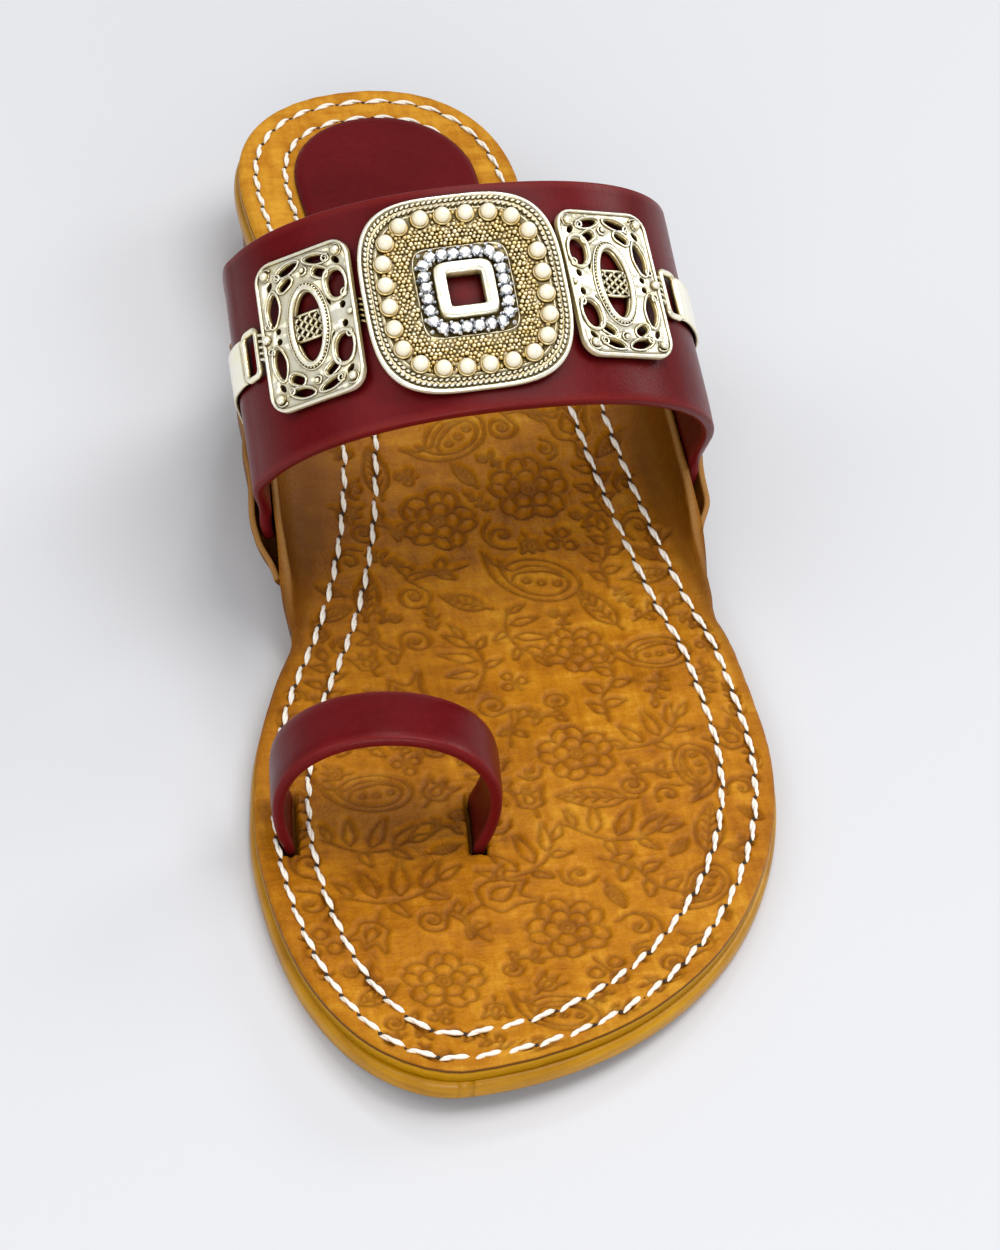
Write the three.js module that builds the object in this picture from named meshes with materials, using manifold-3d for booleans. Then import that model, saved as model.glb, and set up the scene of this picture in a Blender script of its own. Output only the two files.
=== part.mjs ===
// A kolhapuri toe-loop sandal for the left foot.
// Millimetres, +Z up. The toe points along -Y, the big-toe side is -X, the little-toe side is +X.
// Along the shoe, y runs from -soleLength at the toe tip to 0 at the back of the heel.
import * as THREE from 'three';
import { mergeVertices } from 'three/addons/utils/BufferGeometryUtils.js';
import Module from 'manifold-3d';

// Driving dimensions of the sole
const soleLength = 256;
const ballWidth = 93.2;
const waistWidth = 55.6;
const heelWidth = 56.7;
const heelRise = 15;
const toeSpring = 3;
const outsoleThickness = 3.7;
const footbedThickness = 2.7;
const footbedInset = 0.7;
const heelInset = 1.2;
const heelTaper = 1.4;
const heelBreastAt = 62;
const seatGap = 0.3;
const legClearance = 0.35;
const pocketClearance = 0.5;

// Driving dimensions of the ears at the waist, where the sole leather turns up round the strap ends
const wingFlare = 15.5;
const wingRise = 9.5;
const wingThickness = 1.4;
const wallThickness = 1.2;
const creaseInset = 3;

// Driving dimensions of the instep strap
const strapThickness = 2.2;
const strapWidth = 42.3;
const strapSpan = 84.9;
const strapHeight = 37.5;
const strapFromHeel = 128.9;
const strapAboveFootbed = 16.4;
const strapOffsetLateral = 3.8;
const strapSlope = THREE.MathUtils.degToRad(32.9);
const strapYaw = THREE.MathUtils.degToRad(4.4);
const strapRoll = THREE.MathUtils.degToRad(-2.1);
const strapNarrowing = 0.03;
const strapLowering = 0.08;
const strapSquareness = 2.23;
const strapLegDepth = 0.28;

// Driving dimensions of the toe loop
const loopWidth = 13.5;
const loopThickness = 2;
const loopSpan = 38.6;
const loopHeight = 26.4;
const loopBelly = 10;
const loopTuck = 2.2;
const loopFromHeel = 196.5;
const loopCentreX = -23.7;
const loopYaw = THREE.MathUtils.degToRad(-6);
const loopDrop = 1.6;
const loopSquareness = 2.08;
const loopLegShare = 0.2;
const slotClearance = 0.3;

// Driving dimensions of the heel pad
const padThickness = 0.8;
const padMargin = 11.6;
const padFrontFromHeel = 86;
const padLateralMargin = 9;
const padShift = 0.5;
const padSquareness = 2.1;

// Driving dimensions of the metal ornament
const medallionWidth = 35.6;
const medallionLength = 36.6;
const medallionThickness = 1.3;
const medallionAlongArch = -7.5;
const medallionAcross = 21.7;
const medallionSquareness = 3.4;
const windowSize = 6.6;
const frameWidth = 2.2;
const frameHeight = 1.3;
const stoneSize = 2.3;
const stoneHeight = 1;
const stoneCount = 24;
const stoneRingSquareness = 7;
const pearlSize = 3.1;
const pearlCount = 24;
const pearlMargin = 4.1;
const pearlRingSquareness = 3.6;
const pearlSink = 0.22;
const plateWidth = 19.4;
const plateLength = 27.8;
const plateThickness = 1.2;
const plateCorner = 3.2;
const plateStep = 27.4;
const ovalWidth = 5.8;
const ovalLength = 13.2;
const ovalRim = 1;
const ovalRimHeight = 1.8;
const ovalBarLength = 4.6;
const ovalBarThickness = 0.84;
const coilDiameter = 1.7;
const coilLength = 5;
const coilTurns = 4;
const ringWidth = 9.6;
const ringLength = 5.6;
const ringWire = 1.2;
const ringCorner = 1.6;
const tabWidth = 8.4;
const tabThickness = 0.7;
const tabEndFromLegEnd = 10;

// The wall of leather outside the strap leaves room for the strap end
const wallGap = legClearance + strapThickness + pocketClearance;

// How far parts of one joined body reach into each other
const overlap = 0.3;

// Smooth interpolation through the rows of a table, at a place along the sole
function column(rows, key, at) {
  const last = rows.length - 1;
  if (at <= rows[0].at) return rows[0][key];
  if (at >= rows[last].at) return rows[last][key];
  let i = 0;
  while (at > rows[i + 1].at) i += 1;
  const slope = (k) => {
    if (k === 0 || k === last) return 0;
    const before = (rows[k][key] - rows[k - 1][key]) / (rows[k].at - rows[k - 1].at);
    const after = (rows[k + 1][key] - rows[k][key]) / (rows[k + 1].at - rows[k].at);
    if (before * after <= 0) return 0;
    return (2 * before * after) / (before + after);
  };
  const step = rows[i + 1].at - rows[i].at;
  const t = (at - rows[i].at) / step;
  const h = t * t * (3 - 2 * t);
  const bend = t * (1 - t);
  return rows[i][key] * (1 - h) + rows[i + 1][key] * h
    + step * bend * ((1 - t) * slope(i) - t * slope(i + 1));
}

function smooth(t) {
  const u = Math.min(1, Math.max(0, t));
  return u * u * (3 - 2 * u);
}

// Edges of the true sole between its two rounded ends.
// at: share of the length from the toe; x: distance from the centre line.
const medialEdge = [
  { at: 0.219, x: -0.494 * ballWidth },
  { at: 0.294, x: -0.470 * ballWidth },
  { at: 0.368, x: -0.410 * ballWidth },
  { at: 0.427, x: -0.340 * ballWidth },
  { at: 0.489, x: -0.470 * waistWidth },
  { at: 0.555, x: -0.400 * waistWidth },
  { at: 0.648, x: -0.352 * waistWidth },
  { at: 0.734, x: -0.410 * heelWidth },
  { at: 0.804, x: -0.468 * heelWidth },
  { at: 0.871, x: -0.487 * heelWidth },
];
const lateralEdge = [
  { at: 0.297, x: 0.506 * ballWidth },
  { at: 0.375, x: 0.500 * ballWidth },
  { at: 0.446, x: 0.466 * ballWidth },
  { at: 0.508, x: 0.733 * waistWidth },
  { at: 0.586, x: 0.680 * waistWidth },
  { at: 0.664, x: 0.643 * waistWidth },
  { at: 0.742, x: 0.582 * heelWidth },
  { at: 0.804, x: 0.533 * heelWidth },
  { at: 0.864, x: 0.513 * heelWidth },
];

// Rounded ends: where the tip lies across the sole, and how square each quarter is
const toeTipX = -0.215 * ballWidth;
const heelTipX = 0.055 * heelWidth;
const quarterPower = { toeMedial: 2.1, toeLateral: 1.93, heelMedial: 2.3, heelLateral: 2.25 };
const tipLimit = 0.9965;

function quarter(t, power) {
  return (1 - Math.min(t, tipLimit) ** power) ** (1 / power);
}

function soleEdge(side, at) {
  const rows = side < 0 ? medialEdge : lateralEdge;
  const first = rows[0];
  const end = rows[rows.length - 1];
  if (at < first.at) {
    const power = side < 0 ? quarterPower.toeMedial : quarterPower.toeLateral;
    return toeTipX + (first.x - toeTipX) * quarter((first.at - at) / first.at, power);
  }
  if (at > end.at) {
    const power = side < 0 ? quarterPower.heelMedial : quarterPower.heelLateral;
    return heelTipX + (end.x - heelTipX) * quarter((at - end.at) / (1 - end.at), power);
  }
  return column(rows, 'x', at);
}

// Height of the top of the footbed, from the toe spring over the flat forefoot and up to the heel seat
const soleStack = outsoleThickness + seatGap + footbedThickness;
const profile = [
  { at: 0, z: soleStack + toeSpring },
  { at: 0.045, z: soleStack + 0.52 * toeSpring },
  { at: 0.12, z: soleStack },
  { at: 0.41, z: soleStack },
  { at: 0.49, z: soleStack + 0.14 * heelRise },
  { at: 0.59, z: soleStack + 0.46 * heelRise },
  { at: 0.69, z: soleStack + 0.80 * heelRise },
  { at: 0.77, z: soleStack + 0.97 * heelRise },
  { at: 0.81, z: soleStack + heelRise },
  { at: 1, z: soleStack + heelRise },
];

function footbedTop(at) {
  return column(profile, 'z', at);
}

// Ears of the footbed: how far they pass the sole edge and how far they rise, as shares
const medialWing = [
  { at: 0.405, flare: 0, rise: 0 },
  { at: 0.453, flare: 0.25, rise: 0.26 },
  { at: 0.504, flare: 0.56, rise: 0.92 },
  { at: 0.570, flare: 0.75, rise: 1 },
  { at: 0.633, flare: 0.84, rise: 0.80 },
  { at: 0.688, flare: 0.66, rise: 0.42 },
  { at: 0.738, flare: 0.36, rise: 0.13 },
  { at: 0.790, flare: 0, rise: 0 },
];
const lateralWing = [
  { at: 0.410, flare: 0, rise: 0 },
  { at: 0.438, flare: 0.12, rise: 0.05 },
  { at: 0.473, flare: 0.22, rise: 0.30 },
  { at: 0.523, flare: 0.30, rise: 0.90 },
  { at: 0.590, flare: 0.40, rise: 1 },
  { at: 0.648, flare: 0.41, rise: 0.82 },
  { at: 0.707, flare: 0.32, rise: 0.46 },
  { at: 0.758, flare: 0.14, rise: 0.12 },
  { at: 0.797, flare: 0, rise: 0 },
];

// How the ear's curve turns up: its handles as shares of the span and the rise
const earCurve = { leave: 0.62, flatHandle: 0.3, risenHandle: 0.7, uprightAt: 0.6 };

// Upper face of the footbed beside the crease: s runs from the crease (0) to the cut edge (1).
// Returns the point and the normal that leans inwards as the ear turns up.
function wingPoint(side, at, s) {
  const rows = side < 0 ? medialWing : lateralWing;
  const flare = wingFlare * column(rows, 'flare', at);
  const rise = wingRise * column(rows, 'rise', at);
  const turn = smooth(rise / (earCurve.uprightAt * wingRise));
  const angle = turn * Math.PI / 2;
  const span = creaseInset - footbedInset + flare - wingThickness * Math.sin(angle);
  const handle = earCurve.flatHandle * span * (1 - turn) + earCurve.risenHandle * rise * turn;
  const p = [0, earCurve.leave * span, span - handle * Math.cos(angle), span];
  const q = [0, 0, rise - handle * Math.sin(angle), rise];
  const r = 1 - s;
  const bezier = (c) => r ** 3 * c[0] + 3 * r * r * s * c[1] + 3 * r * s * s * c[2] + s ** 3 * c[3];
  const slope = (c) => r * r * (c[1] - c[0]) + 2 * r * s * (c[2] - c[1]) + s * s * (c[3] - c[2]);
  const run = slope(p);
  const climb = slope(q);
  const length = Math.hypot(run, climb) || 1;
  const crease = soleEdge(side, at) - side * creaseInset;
  return {
    x: crease + side * bezier(p),
    z: footbedTop(at) + bezier(q),
    nx: -side * climb / length,
    nz: run / length,
  };
}

function along(at) {
  return (at - 1) * soleLength;
}

// A point at a depth below the upper face of the footbed, outwards at an ear
function below(side, at, s, depth) {
  const face = wingPoint(side, at, s);
  return new THREE.Vector3(face.x - face.nx * depth, along(at), face.z - face.nz * depth);
}

// A closed body between two grids of points with the same rows and columns
function bodyBetween(upper, lower) {
  const rows = upper.length;
  const columns = upper[0].length;
  const positions = [];
  for (const grid of [upper, lower]) {
    for (const row of grid) {
      for (const point of row) positions.push(point.x, point.y, point.z);
    }
  }
  const index = [];
  const up = (i, j) => i * columns + j;
  const down = (i, j) => rows * columns + i * columns + j;
  const quad = (a, b, c, d) => index.push(a, b, c, a, c, d);
  for (let i = 0; i < rows - 1; i += 1) {
    for (let j = 0; j < columns - 1; j += 1) {
      quad(up(i, j), up(i, j + 1), up(i + 1, j + 1), up(i + 1, j));
      quad(down(i, j), down(i + 1, j), down(i + 1, j + 1), down(i, j + 1));
    }
    quad(up(i, 0), up(i + 1, 0), down(i + 1, 0), down(i, 0));
    quad(up(i + 1, columns - 1), up(i, columns - 1), down(i, columns - 1), down(i + 1, columns - 1));
  }
  for (let j = 0; j < columns - 1; j += 1) {
    quad(up(0, j + 1), up(0, j), down(0, j), down(0, j + 1));
    quad(up(rows - 1, j), up(rows - 1, j + 1), down(rows - 1, j + 1), down(rows - 1, j));
  }
  return outwards(closedGeometry(positions, index));
}

function closedGeometry(positions, index) {
  const geometry = new THREE.BufferGeometry();
  geometry.setAttribute('position', new THREE.Float32BufferAttribute(positions, 3));
  geometry.setIndex(index);
  return geometry;
}

// Turns the faces over when the enclosed volume comes out negative
function outwards(geometry) {
  const p = geometry.getAttribute('position');
  const index = geometry.getIndex();
  const a = new THREE.Vector3();
  const b = new THREE.Vector3();
  const c = new THREE.Vector3();
  let volume = 0;
  for (let i = 0; i < index.count; i += 3) {
    a.fromBufferAttribute(p, index.getX(i));
    b.fromBufferAttribute(p, index.getX(i + 1));
    c.fromBufferAttribute(p, index.getX(i + 2));
    volume += a.dot(b.cross(c));
  }
  if (volume < 0) {
    for (let i = 0; i < index.count; i += 3) {
      const kept = index.getX(i + 1);
      index.setX(i + 1, index.getX(i + 2));
      index.setX(i + 2, kept);
    }
  }
  geometry.computeVertexNormals();
  return geometry;
}

// Joining and cutting
const wasm = await Module();
wasm.setup();

function toSolid(geometry) {
  const bare = geometry.clone();
  bare.deleteAttribute('normal');
  bare.deleteAttribute('uv');
  const merged = mergeVertices(bare, 1e-4);
  return new wasm.Manifold(new wasm.Mesh({
    numProp: 3,
    vertProperties: Float32Array.from(merged.getAttribute('position').array),
    triVerts: Uint32Array.from(merged.getIndex().array),
  }));
}

function fromSolid(solid) {
  const mesh = solid.getMesh();
  const geometry = closedGeometry(Array.from(mesh.vertProperties), Array.from(mesh.triVerts));
  geometry.computeVertexNormals();
  return geometry;
}

function joined(geometries) {
  let solid = toSolid(geometries[0]);
  for (const geometry of geometries.slice(1)) solid = solid.add(toSolid(geometry));
  return fromSolid(solid);
}

function cut(geometry, cutters) {
  let solid = toSolid(geometry);
  for (const cutter of cutters) solid = solid.subtract(toSolid(cutter));
  return fromSolid(solid);
}

// Places along the sole, closer together towards the two tips. Every layer of the sole uses the same ones.
const soleSteps = 56;
const soleStations = Array.from({ length: soleSteps + 1 }, (_, i) => 0.5 - 0.5 * Math.cos(Math.PI * i / soleSteps));
const acrossSteps = 3;
const wingSteps = 4;

// One row of the footbed, from the medial cut edge to the lateral one, at a depth below its top
function footbedRow(at, depth) {
  const row = [];
  for (let i = wingSteps; i >= 0; i -= 1) row.push(below(-1, at, i / wingSteps, depth(i / wingSteps)));
  const left = row[row.length - 1];
  const right = below(1, at, 0, depth(0));
  for (let j = 1; j < acrossSteps; j += 1) row.push(left.clone().lerp(right, j / acrossSteps));
  for (let i = 0; i <= wingSteps; i += 1) row.push(below(1, at, i / wingSteps, depth(i / wingSteps)));
  return row;
}

// Leather thins from the footbed to the ears where it turns up
function leatherDepth(side, at) {
  const rise = column(side < 0 ? medialWing : lateralWing, 'rise', at);
  return (s) => footbedThickness + (wingThickness - footbedThickness) * smooth(s) * smooth(rise);
}

function footbedGeometry() {
  const upper = [];
  const lower = [];
  for (const at of soleStations) {
    const medial = leatherDepth(-1, at);
    const lateral = leatherDepth(1, at);
    upper.push(footbedRow(at, () => 0));
    const under = footbedRow(at, medial);
    const right = footbedRow(at, lateral);
    lower.push(under.map((point, j) => (j > wingSteps ? right[j] : point)));
  }
  return bodyBetween(upper, lower);
}

// Places from one end to another that draw closer together towards the second
function closingSteps(from, to, count) {
  return Array.from({ length: count + 1 }, (_, i) => from + (to - from) * Math.sin(Math.PI / 2 * i / count));
}

// A plain slab that follows the sole between two depths below the footbed top
function soleSlab(steps, inset, topDepth, bottomHeight) {
  const columns = 4;
  const upper = [];
  const lower = [];
  for (const at of steps) {
    const left = soleEdge(-1, at) + inset;
    const right = soleEdge(1, at) - inset;
    const top = footbedTop(at) - topDepth;
    const rowOf = (z, squeeze) => Array.from({ length: columns + 1 }, (_, j) => {
      const x = left + squeeze + (right - left - 2 * squeeze) * j / columns;
      return new THREE.Vector3(x, along(at), z);
    });
    const foot = bottomHeight(at);
    upper.push(rowOf(top, 0));
    lower.push(rowOf(foot.z, foot.squeeze));
  }
  return bodyBetween(upper, lower);
}

function outsoleGeometry() {
  const topDepth = footbedThickness + seatGap;
  return soleSlab(soleStations, 0, topDepth, (at) => ({ z: footbedTop(at) - soleStack, squeeze: 0 }));
}

// The heel block stands under the seat, with a straight breast and a slight taper to the floor
function heelGeometry() {
  const breast = 1 - heelBreastAt / soleLength;
  const back = 1 - heelInset / soleLength;
  return soleSlab(closingSteps(breast, back, 16), heelInset, soleStack + seatGap, () => ({ z: 0, squeeze: heelTaper }));
}

// The outer wall of each ear: a shell that leaves the sole edge, passes round the strap end and stands up
// Places are shares of the length. The shell is clear of the strap end from a share of its own height upwards.
const wallColumns = 6;
const wallGapAtShare = 0.6;
const medialWallEnds = { front: 0.472, opens: 0.472, open: 0.500, close: 0.712, shut: 0.752, back: 0.765 };
const lateralWallEnds = { front: 0.485, opens: 0.485, open: 0.515, close: 0.712, shut: 0.742, back: 0.745 };

function wallGapAt(ends, at) {
  const opening = smooth((at - ends.opens) / (ends.open - ends.opens));
  const closing = smooth((ends.shut - at) / (ends.shut - ends.close));
  return seatGap + (wallGap - seatGap) * Math.min(opening, closing);
}

function wallPoint(side, ends, at, share, depth) {
  const start = wallStart(side, at);
  const s = start + (1 - start) * share;
  const leather = leatherDepth(side, at)(s);
  const gap = seatGap + (wallGapAt(ends, at) - seatGap) * smooth(share / wallGapAtShare);
  return below(side, at, s, leather + gap + depth);
}

// The share of the ear's curve at which its shell is clear of the sole edge
function wallStart(side, at) {
  const reach = Math.abs(soleEdge(side, at)) + seatGap;
  let low = 0;
  let high = 1;
  for (let i = 0; i < 24; i += 1) {
    const middle = (low + high) / 2;
    const leather = leatherDepth(side, at)(middle);
    const inner = Math.abs(below(side, at, middle, leather + seatGap + wallThickness).x);
    if (inner < reach) low = middle;
    else high = middle;
  }
  return low;
}

function wallGeometry(side, ends) {
  const inner = [];
  const outer = [];
  for (const at of soleStations.filter((place) => place > ends.front && place < ends.back)) {
    const shares = Array.from({ length: wallColumns + 1 }, (_, j) => j / wallColumns);
    inner.push(shares.map((share) => wallPoint(side, ends, at, share, 0)));
    outer.push(shares.map((share) => wallPoint(side, ends, at, share, wallThickness)));
  }
  return bodyBetween(inner, outer);
}

// The instep strap is a band round a sloping instep: its arch stands square to the slope
function strapAxes() {
  const across = new THREE.Vector3(Math.cos(strapYaw), Math.sin(strapYaw), 0);
  const back = new THREE.Vector3(
    -Math.sin(strapYaw) * Math.cos(strapSlope),
    Math.cos(strapYaw) * Math.cos(strapSlope),
    Math.sin(strapSlope),
  );
  const level = new THREE.Vector3().crossVectors(across, back);
  const right = across.clone().multiplyScalar(Math.cos(strapRoll)).addScaledVector(level, Math.sin(strapRoll));
  const up = new THREE.Vector3().crossVectors(right, back);
  return { right, back, up };
}

const axes = strapAxes();
const strapAt = 1 - strapFromHeel / soleLength;
const strapFoot = new THREE.Vector3(strapOffsetLateral, -strapFromHeel, footbedTop(strapAt) + strapAboveFootbed);

// Outer face of the arch. across: 0 at the front edge, strapWidth at the rear edge. angle: 0 to PI.
function archPoint(angle, across) {
  const share = across / strapWidth;
  const half = strapSpan / 2 * (1 - strapNarrowing * share);
  const height = strapHeight * (1 - strapLowering * share);
  const power = 2 / strapSquareness;
  const c = Math.cos(angle);
  const x = -half * Math.sign(c) * Math.abs(c) ** power;
  const z = height * Math.abs(Math.sin(angle)) ** power;
  return strapFoot.clone()
    .addScaledVector(axes.back, across)
    .addScaledVector(axes.right, x)
    .addScaledVector(axes.up, z);
}

// Where the strap's leg enters its ear: the height of the cut edge is met going down the leg
function legEntry(side, across) {
  const base = archPoint(side < 0 ? 0 : Math.PI, across);
  let low = 0;
  let high = 60;
  const at = (down) => 1 + (base.y - axes.up.y * down) / soleLength;
  for (let i = 0; i < 30; i += 1) {
    const down = (low + high) / 2;
    const edge = wingPoint(side, at(down), 1).z;
    if (base.z - axes.up.z * down > edge) low = down;
    else high = down;
  }
  return at(low);
}

const legShares = [1 - strapLegDepth, 1 - strapLegDepth / 2, 1];

// The strap's outer face as points from the medial end over the arch to the lateral end
function strapCurve(across) {
  const leg = (side) => {
    const at = legEntry(side, across);
    return legShares.map((s) => below(side, at, s, leatherDepth(side, at)(s) + legClearance + strapThickness));
  };
  const arch = [];
  const archSteps = 22;
  const archStart = 0.02 * Math.PI;
  for (let i = 0; i <= archSteps; i += 1) {
    arch.push(archPoint(archStart + (Math.PI - 2 * archStart) * i / archSteps, across));
  }
  const points = [...leg(-1), ...arch, ...leg(1).reverse()];
  return new THREE.CatmullRomCurve3(points, false, 'centripetal');
}

const strapLengthSteps = 40;
const strapWidthSteps = 5;

// Inner face of a band: each point moved inwards along the face's own normal
function insetGrid(grid, depth) {
  const rows = grid.length;
  const columns = grid[0].length;
  return grid.map((row, i) => row.map((point, j) => {
    const lengthwise = grid[Math.min(i + 1, rows - 1)][j].clone().sub(grid[Math.max(i - 1, 0)][j]);
    const widthwise = grid[i][Math.min(j + 1, columns - 1)].clone().sub(grid[i][Math.max(j - 1, 0)]);
    const normal = widthwise.cross(lengthwise).normalize();
    return point.clone().addScaledVector(normal, depth);
  }));
}

function strapGrid() {
  const curves = Array.from({ length: strapWidthSteps + 1 }, (_, j) => strapCurve(strapWidth * j / strapWidthSteps));
  const shares = Array.from({ length: strapLengthSteps + 1 }, (_, i) => i / strapLengthSteps);
  return shares.map((share) => curves.map((curve) => curve.getPoint(share)));
}

function strapGeometry() {
  const outer = strapGrid();
  return bodyBetween(outer, insetGrid(outer, strapThickness));
}

// The toe loop: a band whose legs go down through two slots in the footbed
const loopAt = 1 - loopFromHeel / soleLength;
const loopBase = footbedTop(loopAt);

function loopPlace(x, y, z) {
  const turned = new THREE.Vector3(x, y, z).applyAxisAngle(new THREE.Vector3(0, 0, 1), loopYaw);
  return turned.add(new THREE.Vector3(loopCentreX, -loopFromHeel, 0));
}

function loopPoint(share, across) {
  const half = loopSpan / 2;
  const crown = loopHeight - loopBelly - loopDrop * across / loopWidth;
  const legEnd = loopBase - footbedThickness + seatGap;
  const legDepth = loopBase + loopBelly - legEnd;
  const y = across - loopWidth / 2;
  if (share < loopLegShare || share > 1 - loopLegShare) {
    const side = share < 0.5 ? -1 : 1;
    const down = 1 - Math.min(share, 1 - share) / loopLegShare;
    const tuck = loopTuck * (down * legDepth / loopBelly) ** 2;
    return loopPlace(side * (half - Math.min(tuck, loopTuck)), y, loopBase + loopBelly - down * legDepth);
  }
  const angle = Math.PI * (share - loopLegShare) / (1 - 2 * loopLegShare);
  const power = 2 / loopSquareness;
  const c = Math.cos(angle);
  return loopPlace(
    -half * Math.sign(c) * Math.abs(c) ** power,
    y,
    loopBase + loopBelly + crown * Math.abs(Math.sin(angle)) ** power,
  );
}

function loopGeometry() {
  const lengthSteps = 30;
  const widthSteps = 2;
  const outer = Array.from({ length: lengthSteps + 1 }, (_, i) => Array.from(
    { length: widthSteps + 1 },
    (_unused, j) => loopPoint(i / lengthSteps, loopWidth * j / widthSteps),
  ));
  return bodyBetween(outer, insetGrid(outer, loopThickness));
}

function slotCutter(side) {
  const foot = loopSpan / 2 - loopTuck - loopThickness / 2;
  const width = loopThickness + 2 * slotClearance;
  const slot = new THREE.BoxGeometry(width, loopWidth + 2 * slotClearance, 4 * footbedThickness);
  slot.rotateZ(loopYaw);
  const place = loopPlace(side * foot, 0, loopBase);
  slot.translate(place.x, place.y, place.z);
  return slot;
}

// The thin pad glued on the heel seat, inside the inner row of stitches
function padGeometry() {
  const columns = 3;
  const front = 1 - padFrontFromHeel / soleLength;
  const back = 1 - padMargin / soleLength;
  const upper = [];
  const lower = [];
  for (const at of closingSteps(front, back, 20)) {
    const seat = padHalf(at);
    const rowOf = (lift) => Array.from({ length: columns + 1 }, (_, j) => new THREE.Vector3(
      seat.centre + seat.half * (2 * j / columns - 1),
      along(at),
      footbedTop(at) + lift,
    ));
    upper.push(rowOf(seatGap + padThickness));
    lower.push(rowOf(seatGap));
  }
  return bodyBetween(upper, lower);
}

// Centre and half width of the pad: the sole's own width less the margin, rounded at the back
function padHalf(at) {
  const roundsAt = medialEdge[medialEdge.length - 1].at;
  const straight = Math.min(at, roundsAt);
  const left = soleEdge(-1, straight) + padMargin;
  const right = soleEdge(1, straight) - padLateralMargin;
  const backAt = 1 - padMargin / soleLength;
  const round = quarter(Math.max(0, (at - roundsAt) / (backAt - roundsAt)), padSquareness);
  return { centre: (left + right) / 2 + (1 - round) * padShift, half: (right - left) / 2 * round };
}

// A place on the strap's face at a length along the arch from its crown, and its direction along the arch
function facePlace(arc, across) {
  const curve = strapCurve(across);
  const crown = nearestShare(curve, archPoint(Math.PI / 2, across));
  const share = crown + arc / curve.getLength();
  return { origin: curve.getPointAt(share), right: curve.getTangentAt(share) };
}

function nearestShare(curve, point) {
  let low = 0;
  let high = 1;
  const samples = 20;
  for (let pass = 0; pass < 4; pass += 1) {
    let best = low;
    let nearest = Infinity;
    const step = (high - low) / samples;
    for (let i = 0; i <= samples; i += 1) {
      const share = low + step * i;
      const distance = curve.getPointAt(share).distanceTo(point);
      if (distance < nearest) {
        nearest = distance;
        best = share;
      }
    }
    low = Math.max(0, best - step);
    high = Math.min(1, best + step);
  }
  return (low + high) / 2;
}

// The local frame of a metal piece that lies on the strap: x along the arch, y to the rear, z outwards
function faceFrame(arc, across) {
  const { origin, right } = facePlace(arc, across);
  const front = facePlace(arc, across - 1).origin;
  const rear = facePlace(arc, across + 1).origin;
  const normal = new THREE.Vector3().crossVectors(right, rear.sub(front)).normalize();
  const back = new THREE.Vector3().crossVectors(normal, right).normalize();
  return new THREE.Matrix4().makeBasis(right, back, normal).setPosition(origin);
}

// A rounded square outline with slightly bowed sides
function cushionShape(width, length, squareness) {
  const shape = new THREE.Shape();
  const count = 32;
  for (let i = 0; i < count; i += 1) {
    const { x, y } = ringPlace(width / 2, length / 2, squareness, i / count);
    if (i === 0) shape.moveTo(x, y);
    else shape.lineTo(x, y);
  }
  shape.closePath();
  return shape;
}

function squarePath(size) {
  const h = size / 2;
  const path = new THREE.Path();
  path.moveTo(-h, -h);
  path.lineTo(h, -h);
  path.lineTo(h, h);
  path.lineTo(-h, h);
  path.closePath();
  return path;
}

function squareShape(size) {
  return new THREE.Shape(squarePath(size).getPoints());
}

function extruded(shape, height, from) {
  const geometry = new THREE.ExtrudeGeometry(shape, { depth: height, bevelEnabled: false, steps: 1 });
  geometry.translate(0, 0, from);
  return geometry;
}

// A place on a rounded square ring, by share of its length
function ringPlace(halfWidth, halfLength, squareness, share) {
  const angle = 2 * Math.PI * share;
  const power = 2 / squareness;
  const c = Math.cos(angle);
  const s = Math.sin(angle);
  const x = halfWidth * Math.sign(c) * Math.abs(c) ** power;
  const y = halfLength * Math.sign(s) * Math.abs(s) ** power;
  return new THREE.Vector2(x, y);
}

// Even places round a ring, found by walking along it
function evenRing(halfWidth, halfLength, squareness, count, offset) {
  const samples = 720;
  const walk = Array.from({ length: samples + 1 }, (_, i) => ringPlace(halfWidth, halfLength, squareness, i / samples));
  const lengths = [0];
  for (let i = 1; i <= samples; i += 1) lengths.push(lengths[i - 1] + walk[i].distanceTo(walk[i - 1]));
  return Array.from({ length: count }, (_, k) => {
    const target = ((k + offset) % count) / count * lengths[samples];
    let i = 0;
    while (lengths[i + 1] < target) i += 1;
    return walk[i].clone();
  });
}

function medallionGeometry() {
  const outline = cushionShape(medallionWidth, medallionLength, medallionSquareness);
  outline.holes.push(squarePath(windowSize));
  const base = extruded(outline, medallionThickness, seatGap);
  const frameShape = squareShape(windowSize + 2 * frameWidth);
  frameShape.holes.push(squarePath(windowSize));
  const top = seatGap + medallionThickness;
  const pieces = [base, extruded(frameShape, frameHeight + overlap, top - overlap)];
  const pearlX = medallionWidth / 2 - pearlMargin;
  const pearlY = medallionLength / 2 - pearlMargin;
  for (const place of evenRing(pearlX, pearlY, pearlRingSquareness, pearlCount, 0.4)) {
    const pearl = new THREE.SphereGeometry(pearlSize / 2, 7, 4);
    pearl.rotateX(Math.PI / 2);
    pearl.translate(place.x, place.y, top + pearlSize * (0.5 - pearlSink));
    pieces.push(pearl);
  }
  const stoneReach = windowSize / 2 + frameWidth + stoneSize / 2 + 0.2;
  for (const place of evenRing(stoneReach, stoneReach, stoneRingSquareness, stoneCount, 0.5)) {
    const stone = new THREE.CylinderGeometry(stoneSize * 0.3, stoneSize * 0.52, stoneHeight + overlap, 6);
    stone.rotateX(Math.PI / 2);
    stone.translate(place.x, place.y, top - overlap + (stoneHeight + overlap) / 2);
    pieces.push(stone);
  }
  return joined(pieces);
}

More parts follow.
